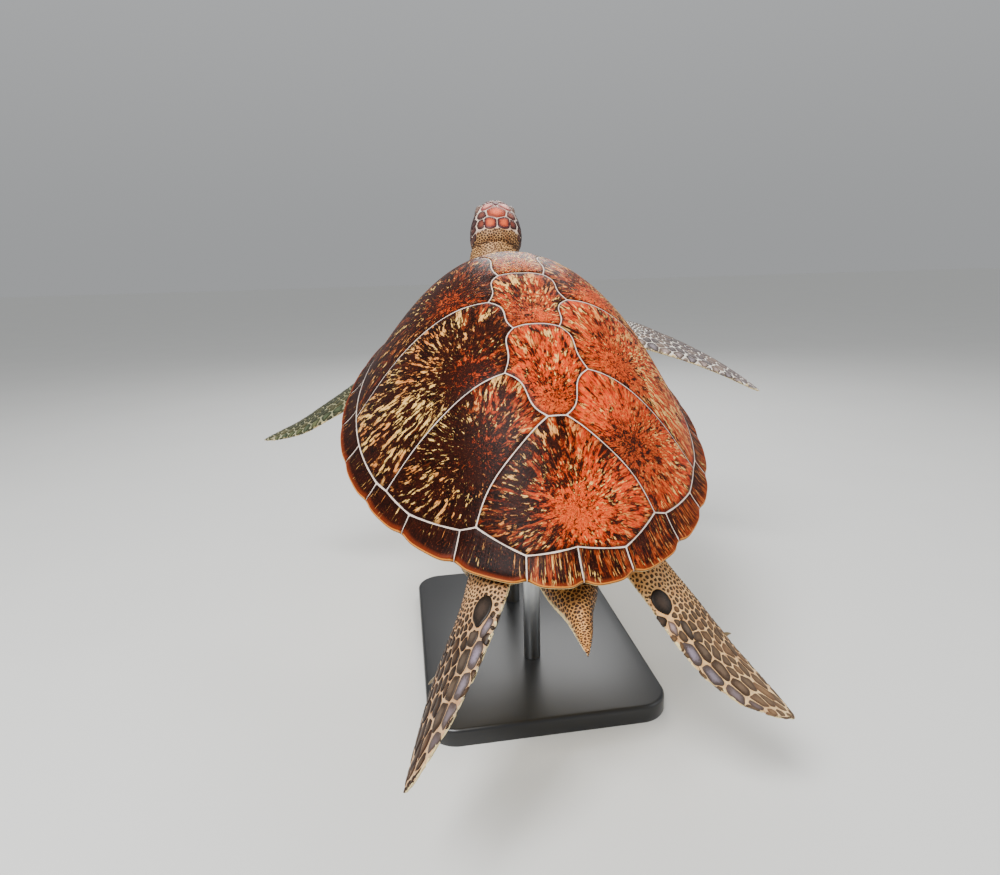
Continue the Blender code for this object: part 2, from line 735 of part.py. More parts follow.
# ---------------------------------------------------------------- stand
def rod_mesh(side):
    """A round rod from the base up to a round pad that lies along the belly."""
    pitch = Matrix.Rotation(math.radians(BODY_PITCH), 4, "X")
    frame = turtle.matrix_world
    under = -BELLY_DEPTH - PLASTRON - GAP
    pad_centre = frame @ Vector((0, side * ROD_AT, under - PAD / 2))
    foot = BASE_SIZE[2] + GAP
    bm = bmesh.new()
    bmesh.ops.create_cone(bm, cap_ends=True, segments=24, radius1=PAD_RADIUS,
                          radius2=PAD_RADIUS, depth=PAD)
    bmesh.ops.transform(bm, matrix=Matrix.Translation(pad_centre) @ pitch, verts=bm.verts)
    pad = bpy.data.meshes.new("pad")
    bm.to_mesh(pad)
    bm.free()
    bm = bmesh.new()
    height = pad_centre.z - foot
    bmesh.ops.create_cone(bm, cap_ends=True, segments=20, radius1=ROD_RADIUS,
                          radius2=ROD_RADIUS, depth=height)
    place = Vector((pad_centre.x, pad_centre.y, foot + height / 2))
    bmesh.ops.transform(bm, matrix=Matrix.Translation(place), verts=bm.verts)
    for vert in bm.verts:
        if vert.co.z > foot + height / 2:
            slope = (frame.to_3x3() @ Vector((0, 1, 0)))
            vert.co.z += (vert.co.y - pad_centre.y) * slope.z / slope.y
    rod = bpy.data.meshes.new("rod")
    bm.to_mesh(rod)
    bm.free()
    tool = cutter(f"pad_{side}", pad)
    return cut(rod, [tool], "UNION")


def base_mesh():
    bm = bmesh.new()
    bmesh.ops.create_cube(bm, size=1)
    scale = Matrix.Diagonal((*BASE_SIZE, 1))
    bmesh.ops.transform(bm, matrix=Matrix.Translation((0, 0, BASE_SIZE[2] / 2)) @ scale,
                        verts=bm.verts)
    upright = [e for e in bm.edges if abs(e.verts[0].co.z - e.verts[1].co.z) > BASE_SIZE[2] / 2]
    bmesh.ops.bevel(bm, geom=upright, offset=BASE_CORNER, segments=6, affect="EDGES", profile=0.5)
    top = [e for e in bm.edges if all(v.co.z > BASE_SIZE[2] - 1e-6 for v in e.verts)]
    bmesh.ops.bevel(bm, geom=top, offset=BASE_EDGE, segments=2, affect="EDGES", profile=0.5)
    mesh = bpy.data.meshes.new("base")
    bm.to_mesh(mesh)
    bm.free()
    return mesh


# ---------------------------------------------------------------- assembly
clear_scene()
parts = collection(PARTS)
cutters = collection(CUTTERS)
horn = material("horn_plate", (0.20, 0.075, 0.035), 0.35)
skin = material("scaly_skin", (0.42, 0.30, 0.16), 0.55)
pale = material("belly_plate", (0.75, 0.62, 0.36), 0.45)
beak = material("beak_horn", (0.33, 0.24, 0.12), 0.4)
eye = material("eye", (0.015, 0.012, 0.010), 0.1)
steel = material("brushed_rod", (0.55, 0.55, 0.56), 0.3, 1.0)
lacquer = material("lacquered_base", (0.03, 0.03, 0.032), 0.35)
plain = material("cutter", (0.8, 0.8, 0.8), 0.5)

turtle = bpy.data.objects.new("turtle_pose", None)
turtle.location = (0, BODY_SHIFT, BODY_HEIGHT)
turtle.rotation_euler = (math.radians(BODY_PITCH), 0, 0)
parts.objects.link(turtle)
head_frame = bpy.data.objects.new("head_pose", None)
head_frame.parent = turtle
head_frame.location = HEAD_AT
head_frame.rotation_euler = (math.radians(HEAD_PITCH), 0, math.radians(HEAD_TURN))
parts.objects.link(head_frame)
bpy.context.view_layer.update()

outlines = plate_outlines()
for name, outline in outlines.items():
    mesh_object(name, plate_mesh(name, outline), horn, turtle)
body = trunk_mesh(outlines)
mesh_object("trunk", body, skin, turtle)
under = plastron_mesh()
mesh_object("plastron", under, pale, turtle)
nuchal = plate_mesh("nuchal", outlines["nuchal"])
shell_tools = [carapace_cutter(outlines),
               cutter("nuchal_cutter", grown(nuchal, 2 * GAP), turtle),
               cutter("trunk_cutter", grown(body, 2 * GAP), turtle),
               cutter("plastron_cutter", grown(under, 2 * GAP), turtle)]

whole_head = head_mesh()
eye_places = {"left": (-EYE_AT[0], *EYE_AT[1:]), "right": EYE_AT}
head_tool = cutter("head_cutter", grown(whole_head, 2 * GAP), head_frame)
upper_tool = cutter("upper_beak_cutter", prism(UPPER_BEAK), head_frame)
lower_tool = cutter("lower_beak_cutter", prism(LOWER_BEAK), head_frame)
eye_tools = [cutter(f"eye_{side}_cutter", ball(place, EYE_RADIUS + GAP), head_frame)
             for side, place in eye_places.items()]
bpy.context.view_layer.update()

neck = round_limb(NECK_ROWS)
mesh_object("neck", fitted(neck, shell_tools + [head_tool], turtle), skin, turtle)
tail = round_limb(TAIL_ROWS)
mesh_object("tail", fitted(tail, shell_tools, turtle), skin, turtle)

for name, limb in LIMBS.items():
    blade = fitted(flipper(limb), shell_tools, turtle)
    mesh_object(name, blade, skin, turtle)
    blade_tool = cutter(f"{name}_cutter", grown(blade, 2 * GAP), turtle)
    bpy.context.view_layer.update()
    claw_name = name.replace("flipper", "claw")
    mesh_object(claw_name, fitted(claw(limb, limb["claw"]), [blade_tool], turtle), beak, turtle)

head = fitted(whole_head, [upper_tool, lower_tool, *eye_tools], head_frame)
mesh_object("head", head, skin, head_frame)
for side, place in eye_places.items():
    mesh_object(f"eye_{side}", ball(place, EYE_RADIUS), eye, head_frame)
mesh_object("beak_upper", beak_piece(UPPER_BEAK), beak, head_frame)
mesh_object("beak_lower", beak_piece(LOWER_BEAK), beak, head_frame)

mesh_object("stand_base", base_mesh(), lacquer)
mesh_object("stand_rod_front", rod_mesh(1), steel)
mesh_object("stand_rod_rear", rod_mesh(-1), steel)
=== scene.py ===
# %% [markdown]
# # A green sea turtle, life size, on a display stand
# The model is a swimming green turtle with a shell 0.85 m long, held on two rods over a
# flat base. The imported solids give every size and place. This lesson gives them their
# looks: horn plates with growth streaks, a scaly skin, a beak, eyes, claws and the stand.

# %% Load the fixed frame
import math

import bmesh
import bpy
import numpy as np
from mathutils import Matrix, Vector
from mathutils.bvhtree import BVHTree
from mathutils.geometry import delaunay_2d_cdt
from mathutils.kdtree import KDTree


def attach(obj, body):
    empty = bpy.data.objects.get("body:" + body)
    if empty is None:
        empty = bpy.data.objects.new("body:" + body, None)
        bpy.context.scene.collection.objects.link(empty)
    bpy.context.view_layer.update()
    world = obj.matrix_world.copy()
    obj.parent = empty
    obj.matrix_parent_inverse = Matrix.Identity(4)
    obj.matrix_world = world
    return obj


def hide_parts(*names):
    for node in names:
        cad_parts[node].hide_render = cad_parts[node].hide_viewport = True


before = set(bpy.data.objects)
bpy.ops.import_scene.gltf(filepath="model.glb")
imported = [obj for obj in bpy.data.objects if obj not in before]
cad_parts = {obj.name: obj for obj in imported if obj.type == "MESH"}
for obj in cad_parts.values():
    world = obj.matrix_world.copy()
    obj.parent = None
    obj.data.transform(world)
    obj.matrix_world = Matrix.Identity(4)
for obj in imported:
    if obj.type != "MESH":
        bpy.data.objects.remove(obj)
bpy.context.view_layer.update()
bpy.ops.object.select_all(action="DESELECT")
rng = np.random.default_rng(7)

# %% [markdown]
# ## Frames and small helpers
# The turtle is drawn in its own frame: x to its right, y to its head, z out of its back,
# with the origin in the middle of the shell's rim. One matrix holds that frame head-up
# over the stand, and a second one places the head on it.

# %% Frames
PITCH = math.radians(21.7)      # the shell's lean, head up
POSE = Matrix.Translation((0, -0.02, 0.45)) @ Matrix.Rotation(PITCH, 4, "X")
HEAD = (POSE @ Matrix.Translation((0.0380, 0.6160, 0.1565))
        @ Matrix.Rotation(math.radians(-5), 4, "Z") @ Matrix.Rotation(math.radians(21), 4, "X"))


def moved(points, matrix):
    """Points, as an array, after a 4 by 4 matrix."""
    m = np.array(matrix)
    return np.asarray(points, float) @ m[:3, :3].T + m[:3, 3]


def unit(vectors):
    return vectors / np.maximum(np.linalg.norm(vectors, axis=-1, keepdims=True), 1e-12)


def smooth_step(low, high, value):
    t = np.clip((value - low) / (high - low), 0, 1)
    return t * t * (3 - 2 * t)


def between(first, second, factor):
    factor = np.asarray(factor)[..., None]
    return first * (1 - factor) + second * factor


print("head at", tuple(round(c, 3) for c in HEAD.translation))


# %% [markdown]
# ## Colours, nodes and meshes
# A finish is a small tree of nodes: patterns, ranges and mixes that end in one shader. It
# could be drawn by hand in the shader editor. Here one function adds any node, so that each
# finish reads as a list. The pieces' outlines are curves that no primitive has, so most of
# their meshes are made from arrays of points.

# %% Colours and nodes
# The output and the settings that a kind of node mostly has here. A colour mix has its
# factor at input 0 and its colours at 6 and 7, and Map Range has its range at 1 and 2.
# Attribute reads what a mesh stores at each point: numbers at output 2, vectors at 1
OUTPUT = {"TexCoord": 3, "Mix": 2, "Attribute": 2}
SETTINGS = {"Mix": {"data_type": "RGBA"}}
SOFT = {"interpolation_type": "SMOOTHSTEP"}


def paint(code):
    """An sRGB hex colour as linear red, green, blue and one."""
    parts = [int(code[i:i + 2], 16) / 255 for i in (1, 3, 5)]
    return tuple(c / 12.92 if c <= 0.04045 else ((c + 0.055) / 1.055) ** 2.4
                 for c in parts) + (1.0,)


def fill(tree, node, inputs):
    """Links sockets to a node's inputs, or writes values or hex colours into them."""
    for key, value in inputs.items():
        if isinstance(value, bpy.types.NodeSocket):
            tree.links.new(value, node.inputs[key])
        else:
            node.inputs[key].default_value = paint(value) if isinstance(value, str) else value


def add(tree, kind, inputs=None, out=None, **settings):
    """Adds a node with its settings, values and links, and returns one of its outputs."""
    made = tree.nodes.new("ShaderNode" + kind)
    for key, value in {**SETTINGS.get(kind, {}), **settings}.items():
        setattr(made, key, value)
    fill(tree, made, inputs or {})
    return made.outputs[OUTPUT.get(kind, 0) if out is None else out]


def summed(tree, total, *terms):
    """A pattern plus others, each given with its weight."""
    for pattern, weight in terms:
        total = add(tree, "Math", {0: pattern, 1: weight, 2: total}, operation="MULTIPLY_ADD")
    return total


def coated(tree, colour, *coats, **settings):
    """Coats over a colour: a pattern, where its coat starts and is full, and its colour."""
    for pattern, start, full, coat in coats:
        cover = add(tree, "MapRange", {0: pattern, 1: start, 2: full}, **settings)
        colour = add(tree, "Mix", {0: cover, 6: colour, 7: coat})
    return colour


def new_material(name):
    mat = bpy.data.materials.new(name)
    mat.use_nodes = True
    return mat, mat.node_tree, add(mat.node_tree, "TexCoord")


def shaded(mat, colour, rough, bump=(), **values):
    """Fills a material's shader. Bump is its strength, its depth in metres and a pattern."""
    tree = mat.node_tree
    inputs = {"Base Color": colour, "Roughness": rough,
              **{key.replace("_", " "): value for key, value in values.items()}}
    if bump:
        strength, depth, height = bump
        inputs["Normal"] = add(tree, "Bump", {"Strength": strength, "Distance": depth,
                                              "Height": height})
    fill(tree, tree.nodes["Principled BSDF"], inputs)
    return mat


print("one node adder, with", len(OUTPUT), "kinds that have an output of their own")


# %% Meshes from arrays
SIDES = ((-1, "left"), (1, "right"))


def new_object(name, mesh):
    made = bpy.data.objects.new(name, mesh)
    bpy.context.scene.collection.objects.link(made)
    return made


def loose_mesh(name, points, faces):
    mesh = bpy.data.meshes.new(name)
    mesh.from_pydata(np.asarray(points).tolist(), [], [list(map(int, f)) for f in faces])
    return mesh


def store(mesh, values):
    """Stores a number or vector for each point, which a material can read."""
    for key, data in values.items():
        data = np.asarray(data, np.float32)
        kind, field = ("FLOAT", "value") if data.ndim == 1 else ("FLOAT_VECTOR", "vector")
        mesh.attributes.new(key, kind, "POINT").data.foreach_set(field, data.ravel())


def finished(obj):
    """Every piece rides on the one body."""
    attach(obj, "root")
    return obj


def new_piece(name, points, faces, mat, slot, values=None):
    """A smooth piece; values holds what its points store."""
    mesh = loose_mesh(name, points, faces)
    store(mesh, values or {})
    mesh.shade_smooth()
    mesh.materials.append(mat)
    return finished(new_object(name, mesh))


print("sides of the body", SIDES)

# %% [markdown]
# ## The shell's form
# The upper shell is a dome over a heart-shaped plan. Its height is a function of the plan
# point: level on top, steep at the flanks, and flared out again at the rim, which rises a
# little at nose and tail. It could be sculpted, but with a formula the plates, the rim and
# the body under them all lie on one surface. The plates' seams are curves in plan between
# named corners, which two neighbours share.

# %% Shell surface
# Rounded from a least-squares fit made in a separate program: the half width, HEART to
# SHEER, the first six seams at the marginals and the first costal end.
HALF_LENGTH, HALF_WIDTH = 0.425, 0.318
HEART = (0.075, 0.082)      # makes the plan wider in front and narrower at both ends
DOME_RISE, CREST = 0.240, (0.313, 0.130)    # the dome's height, and how it grows forwards
FLANK, BROW = 2.75, 1.41    # powers that keep the top level and the flanks steep
SHEER = 0.063               # how far the rim rises at nose and tail
NOTCH, NOTCH_WIDE = 0.021, 2.6      # the rim's notches: share of the rim, degrees
PLATE, RIM_PLATE = 0.014, 0.007     # thickness of the horn, and at the rim
# Where seams meet the ring of marginals: degrees from the tail, and share of the rim
MARGINAL_SEAMS = [(0, 0.891), (14.9, 0.918), (33.9, 0.895), (49.8, 0.924), (64.8, 0.921),
                  (80.5, 0.912), (94.8, 0.905), (108.0, 0.900), (120.9, 0.898), (132.9, 0.895),
                  (145.0, 0.890), (156.7, 0.882), (168.2, 0.878), (180.0, 0.885)]
COSTAL_ENDS = [(29.5, 0.873), (60.2, 0.915), (91.7, 0.905), (118.0, 0.896), (159.3, 0.876)]
RING = sorted(MARGINAL_SEAMS + COSTAL_ENDS)


def half_width(t):
    return HALF_WIDTH * (1 + HEART[0] * t - HEART[1] * t * t)


def polar(angle, radius):
    """Plan points at angles from the tail, right is positive, and shares of the rim."""
    turn = np.radians(angle)
    t = -radius * np.cos(turn)
    return np.stack([radius * np.sin(turn) * half_width(t), t * HALF_LENGTH], -1)


def plan_radius(x, y):
    t = y / HALF_LENGTH
    return np.hypot(x / half_width(t), t)


def dome(x, y):
    t = y / HALF_LENGTH
    inward = np.maximum(1 - plan_radius(x, y) ** FLANK, 0)
    height = DOME_RISE * (1 + CREST[0] * t + CREST[1] * t * t)
    return height * inward ** BROW + SHEER * t * t


def plate_thickness(x, y):
    share = np.clip((plan_radius(x, y) - 0.9) / 0.1, 0, 1)
    return PLATE + (RIM_PLATE - PLATE) * share


def from_tail(angle):
    """Degrees from the tail, on either side."""
    return np.abs((np.asarray(angle, float) + 180) % 360 - 180)


def ring_radius(angle):
    """The seam between the marginals and the plates inside them."""
    return np.interp(from_tail(angle), *zip(*RING))


def rim_radius(angle):
    """The outer edge, notched at the seams of the hind marginals."""
    angle = from_tail(angle)
    nearest = np.abs(angle[..., None] - [a for a, _ in MARGINAL_SEAMS]).min(-1)
    depth = NOTCH * np.clip((110 - angle) / 80, 0.10, 1.0)
    return 1.0 + 0.3 * depth - depth * np.exp(-(nearest / NOTCH_WIDE) ** 2)


print("shell", 2 * HALF_LENGTH, "m long, top", round(float(dome(0.0, 0.1)), 3), "m above the rim")

# %% Seams between named corners
SEAM_STEP = 0.003
# Corners in plan, metres. All but V12 are rounded from the same fit.
V12, V2_SIDE, V23 = (0.047, 0.247), (0.060, 0.187), (0.038, 0.0825)
V3_SIDE, V34 = (0.064, 0.0105), (0.0355, -0.0615)
V4_SIDE, V45 = (0.061, -0.147), (0.0127, -0.225)


def seam(start, end, bow=0.0, swing=0.0):
    """A seam with points 3 mm apart. Bow and swing, in shares of its length, push it to
    its left: bow all along, swing in its first half and the other way in its second."""
    start, end = np.array(start, float), np.array(end, float)
    along = end - start
    count = max(int(np.linalg.norm(along) / SEAM_STEP), 2)
    share = np.linspace(0, 1, count + 1)[:, None]
    left = np.array([-along[1], along[0]])
    wave = swing * np.sin(2 * math.pi * share)
    wave += 0.005 * np.sin(3 * math.pi * share) * (1 if bow else 0)
    return start + along * share + left * (4 * bow * share * (1 - share) + wave)


def arc(first, last, radius_of):
    count = max(int(abs(last - first) / 180 * math.pi * 0.35 / SEAM_STEP), 4)
    angles = np.linspace(first, last, count + 1)
    return polar(angles, radius_of(angles))


def mirrored(points):
    return points[::-1] * (-1, 1)


def chain(*runs):
    return np.vstack([run[:-1] for run in runs])


def costal_end(index):
    angle, radius = COSTAL_ENDS[index]
    return polar(angle, radius)


SEAMS = {
    "v12": seam((-V12[0], V12[1]), V12, 0.03), "v23": seam((-V23[0], V23[1]), V23, 0.05),
    "v34": seam((-V34[0], V34[1]), V34, 0.10), "v45": seam((-V45[0], V45[1]), V45),
    "v1_side": seam(V12, costal_end(4), -0.06), "v2_front": seam(V12, V2_SIDE, 0.02, 0.05),
    "v2_rear": seam(V2_SIDE, V23, -0.06, -0.05), "v3_front": seam(V23, V3_SIDE, 0.03, 0.06),
    "v3_rear": seam(V3_SIDE, V34, -0.08, -0.06), "v4_front": seam(V34, V4_SIDE, 0.035, 0.05),
    "v4_rear": seam(V4_SIDE, V45, -0.005, -0.06),
    "v5_side": seam(V45, costal_end(0), 0.065, -0.02),
    "c12": seam(V2_SIDE, costal_end(3), 0.02), "c23": seam(V3_SIDE, costal_end(2), 0.02),
    "c34": seam(V4_SIDE, costal_end(1), 0.04)}
print("inner seams", len(SEAMS))


# %% Outlines of the plates
def hexagon(front, side_front, side_rear, rear):
    return chain(front, side_front, side_rear, rear[::-1], mirrored(side_rear),
                 mirrored(side_front))


def rim_plate(first, last):
    """Outline of a rim plate; its outer edge comes last, so that it can be told apart."""
    outer = arc(first, last, rim_radius)[::-1]
    inner = arc(first, last, ring_radius)
    sides = chain(seam(outer[-1], inner[0]), inner, seam(inner[-1], outer[0]))
    return np.vstack([sides, outer[:-1]]), len(sides)


def plate_outlines():
    """Each plate's outline, and how many of its first points run along seams."""
    s = SEAMS
    v5, c34, c23, c12, v1 = [a for a, _ in COSTAL_ENDS]
    found = {
        "vertebral_1": chain(s["v12"], s["v1_side"], arc(v1, 360 - v1, ring_radius),
                             mirrored(s["v1_side"])),
        "vertebral_2": hexagon(s["v12"], s["v2_front"], s["v2_rear"], s["v23"]),
        "vertebral_3": hexagon(s["v23"], s["v3_front"], s["v3_rear"], s["v34"]),
        "vertebral_4": hexagon(s["v34"], s["v4_front"], s["v4_rear"], s["v45"]),
        "vertebral_5": chain(s["v45"], s["v5_side"], arc(v5, -v5, ring_radius),
                             mirrored(s["v5_side"]))}
    costals = [
        chain(s["v1_side"][::-1], s["v2_front"], s["c12"], arc(c12, v1, ring_radius)),
        chain(s["c12"][::-1], s["v2_rear"], s["v3_front"], s["c23"], arc(c23, c12, ring_radius)),
        chain(s["c23"][::-1], s["v3_rear"], s["v4_front"], s["c34"], arc(c34, c23, ring_radius)),
        chain(s["c34"][::-1], s["v4_rear"], s["v5_side"], arc(v5, c34, ring_radius))]
    for number, outline in enumerate(costals, 1):
        found[f"costal_right_{number}"] = outline
        found[f"costal_left_{number}"] = mirrored(outline)
    found = {name: (outline, len(outline)) for name, outline in found.items()}
    angles = [a for a, _ in MARGINAL_SEAMS[:-1]]
    for number, (rear, front) in enumerate(zip(angles[:-1], angles[1:])):
        name = f"marginal_{{}}_{12 - number}" if number else "supracaudal_{}"
        found[name.format("right")] = rim_plate(rear, front)
        found[name.format("left")] = rim_plate(-front, -rear)
    found["nuchal"] = rim_plate(angles[-1], 360 - angles[-1])
    return found


outlines = plate_outlines()
print("plates", len(outlines))


# %% [markdown]
# ## Filling a plate
# A horn plate is a thin curved slab. A primitive can't follow the dome and the seams at
# once, so each plate is drawn in plan and filled with small triangles, then lifted onto
# the dome. Near a seam the horn dips, as growing horn does, and the rim's edge is round.

# %% Plan meshes
def distance_to(points, start, end):
    """Each point's distance to the nearest of the segments from start to end."""
    along = end - start
    squared = np.maximum((along ** 2).sum(1), 1e-16)
    offset = points[:, None] - start[None]
    share = np.clip((offset * along).sum(2) / squared, 0, 1)
    return np.linalg.norm(offset - share[..., None] * along, axis=2).min(1)


def is_inside(points, outline):
    start, end = outline, np.roll(outline, -1, 0)
    crosses = (start[None, :, 1] > points[:, None, 1]) != (end[None, :, 1] > points[:, None, 1])
    rise = np.where(end[:, 1] == start[:, 1], 1e-12, end[:, 1] - start[:, 1])
    met = start[:, 0] + (points[:, None, 1] - start[:, 1]) / rise * (end[:, 0] - start[:, 0])
    return (crosses & (met > points[:, None, 0])).sum(1) % 2 == 1


def area_of(outline):
    x, y = outline.T
    return float(np.sum(x * np.roll(y, -1) - np.roll(x, -1) * y)) / 2


def inward_of(outline):
    """Unit normals into an anticlockwise outline, one for each point."""
    ahead = unit(np.roll(outline, -1, 0) - outline)
    middle = unit(ahead + np.roll(ahead, 1, 0))
    return np.stack([-middle[:, 1], middle[:, 0]], 1)


def plan_mesh(outline, step, rings, extra=()):
    """Points and triangles over an outline: its points come first, anticlockwise."""
    low, high = outline.min(0), outline.max(0)
    rows = []
    for i, y in enumerate(np.arange(low[1], high[1], step * 0.866)):
        x = np.arange(low[0] + step / 2 * (i % 2), high[0], step)
        rows.append(np.column_stack([x, np.full(len(x), y)]))
    grid = np.vstack(rows)
    end = np.roll(outline, -1, 0)
    grid = grid[is_inside(grid, outline)]
    inner = [grid[distance_to(grid, outline, end) > rings[-1] + step * 0.6]]
    for ring in rings:
        points = outline + inward_of(outline) * ring
        points = points[is_inside(points, outline)]
        inner.append(points[distance_to(points, outline, end) > ring * 0.93])
    if len(extra):
        extra = extra[is_inside(extra, outline)]
        inner.append(extra[distance_to(extra, outline, end) > 0.002])
    points = np.vstack([outline] + inner)
    points = np.vstack([outline, np.unique(np.round(points[len(outline):], 6), axis=0)])
    count = len(outline)
    edges = [(i, (i + 1) % count) for i in range(count)]
    verts, _, faces, *_ = delaunay_2d_cdt([Vector(p) for p in points], edges, [], 1, 1e-7)
    return np.array([tuple(v) for v in verts]), np.array([tuple(f) for f in faces])


def slab_faces(triangles, count, edge):
    """Faces of a closed slab from its plan triangles; edge is its outline's point count."""
    walls = [[(i + 1) % edge, i, i + count, (i + 1) % edge + count] for i in range(edge)]
    return ([list(t) for t in triangles] + [[i + count for i in t[::-1]] for t in triangles]
            + walls)


print("supracaudal plate", round(1e4 * abs(area_of(outlines["supracaudal_right"][0]))), "cm2")

# %% Where each plate grew from, and how it is marked
# Growth starts at a plate's areola, near its rear. Each row: the areola in plan on the
# right side, then amounts of red, dark and cream at the areola, inwards of it, outwards.
# The left costals have more dark and less red than the right ones: partly their own
# pattern, partly painted shade.
GROWTH = {
    "vertebral_1": ((0.0, 0.270), (.7, .2, .60), (.65, .25, .6), (.65, .25, .6)),
    "vertebral_2": ((0.0, 0.098), (.75, .35, .65), (.60, .45, .75), (.60, .45, .75)),
    "vertebral_3": ((0.0, -0.054), (.95, .25, .35), (.74, .40, .64), (.72, .36, .68)),
    "vertebral_4": ((0.0, -0.205), (.98, .28, .25), (.98, .36, .52), (.98, .30, .52)),
    "vertebral_5": ((0.004, -0.340), (1.12, .24, .34), (.66, .66, .50), (1.08, .34, .58)),
    "costal_left_1": ((0.105, 0.200), (.6, .6, .2), (.5, .5, .5), (.25, .75, .6)),
    "costal_left_2": ((0.120, 0.040), (.85, .55, .1), (.62, .64, .35), (.50, .72, .42)),
    "costal_left_3": ((0.112, -0.128), (.95, .7, .0), (.60, .62, .40), (.22, .84, .74)),
    "costal_left_4": ((0.104, -0.248), (.80, .82, .0), (.80, .46, .58), (.25, .94, .54)),
    "costal_right_1": ((0.105, 0.200), (.8, .4, .4), (.6, .48, .6), (.6, .52, .75)),
    "costal_right_2": ((0.120, 0.040), (1., .25, .4), (.72, .50, .62), (.66, .44, .85)),
    "costal_right_3": ((0.112, -0.128), (1., .30, .25), (.92, .34, .58), (.88, .26, .82)),
    "costal_right_4": ((0.104, -0.248), (.9, .44, .2), (1.15, .12, .5), (.92, .24, .65))}
# The left rim's marks are mostly dark: partly its own pattern, partly painted shade
RIM_MARKS = {"left": (.22, .98, .26), "right": (.62, .52, .46), "middle": (.60, .50, .50)}
RIM_REACH = 0.30            # rim streaks run from a point this far inside the plate
MARK_CORE, SPREAD = 0.030, 1.25         # where round marks turn into flecks, and their width
RIM_SPREAD, RIM_RUN = 5.0, 1.3          # the rim's flecks: how narrow and how short
AREOLA, GROWN = 0.012, 0.075            # the core's colours end between these distances


def marks_of(name, points):
    """Direction and distance from the areola, and the amounts of red, dark and cream."""
    side = -1 if "left" in name else 1
    large = name.startswith(("vertebral", "costal"))
    if large:
        (x, y), core, inner, outer = GROWTH[name]
    else:
        middle = points[:, :2].mean(0)
        x, y = middle - unit(middle) * RIM_REACH
        where = [part for part in ("left", "right") if f"marginal_{part}" in name]
        core = inner = outer = RIM_MARKS[where[0] if where else "middle"]
        side = 1
    x = x * side
    origin = np.array([x, y, float(dome(x, y)) if large else 0.03])
    step = 0.001
    slope_x = np.array([step, 0, dome(x + step, y) - dome(x, y)])
    slope_y = np.array([0, step, dome(x, y + step) - dome(x, y)])
    away = points - origin
    reach = np.linalg.norm(away, axis=1)
    flat = unit(np.stack([away @ unit(slope_x), away @ unit(slope_y)], 1))
    if not large:
        ray = np.column_stack([flat * RIM_SPREAD, reach * RIM_RUN])
        return ray, np.tile(core, (len(points), 1))
    outward = smooth_step(0.15, 0.85, 0.5 + 0.5 * flat[:, 0] * side)
    far = smooth_step(AREOLA, GROWN, reach)
    amounts = between(np.array(core), between(np.array(inner), np.array(outer), outward), far)
    # Near the areola the marks are round, and farther out they are ever longer flecks
    spread = SPREAD * reach / (reach + MARK_CORE)
    return np.column_stack([flat * spread[:, None], reach]), amounts


print("large plates with an areola", len(GROWTH))

# %% [markdown]
# ## Horn: the plates' material
# The plates are keratin, like a fingernail, red-brown with cream and near-black flecks that
# fan out from each areola. They could be painted one by one, but then they would not follow
# each plate's growth. So the flecks are noise, stretched along the direction from the
# areola that each point stores: 3 to 6 mm wide and some 30 mm long.

# %% Horn patterns
WARP = (2.6, 2.6, 1.2)      # how far the flecks wander round, and along, their way out


def horn_patterns(tree, place):
    """Noise over the whole shell, then flecks that are long away from the areola."""
    ray = add(tree, "Attribute", out=1, attribute_name="ray")
    warp = add(tree, "TexNoise", {"Vector": place, "Scale": 11.0, "Detail": 2.0}, 1)
    warp = add(tree, "VectorMath", {0: warp, 1: WARP}, operation="MULTIPLY")
    found = {}
    # Cells of 67 and 26 mm, and dots of 2.3 mm
    for name, scale, detail, rough in (("blotch", 15.0, 3.0, 0.6), ("patch", 38.0, 3.0, 0.62),
                                       ("dots", 430.0, 1.0, 0.5)):
        found[name] = add(tree, "TexNoise", {"Vector": place, "Scale": scale,
                                             "Detail": detail, "Roughness": rough})
    # Repeats in one turn round the areola and in one metre outwards: 24 is 42 mm long
    for name, turn, run, detail, rough, twist in (
            ("cream", 17.0, 24.0, 3.0, 0.60, 0.5), ("dark", 11.0, 17.0, 4.0, 0.66, 0.8),
            ("short", 36.0, 62.0, 2.5, 0.62, 0.4), ("streak", 26.0, 8.0, 3.0, 0.62, 0.2),
            ("grain", 90.0, 40.0, 2.0, 0.6, 0.0)):
        drawn = add(tree, "VectorMath", {0: ray, 1: (turn, turn, run), 2: warp},
                    operation="MULTIPLY_ADD")
        found[name] = add(tree, "TexNoise", {
            "Vector": drawn, "Scale": 1.0, "Detail": detail, "Roughness": rough,
            "Distortion": twist})
    return found


print("flecks drift by", WARP)


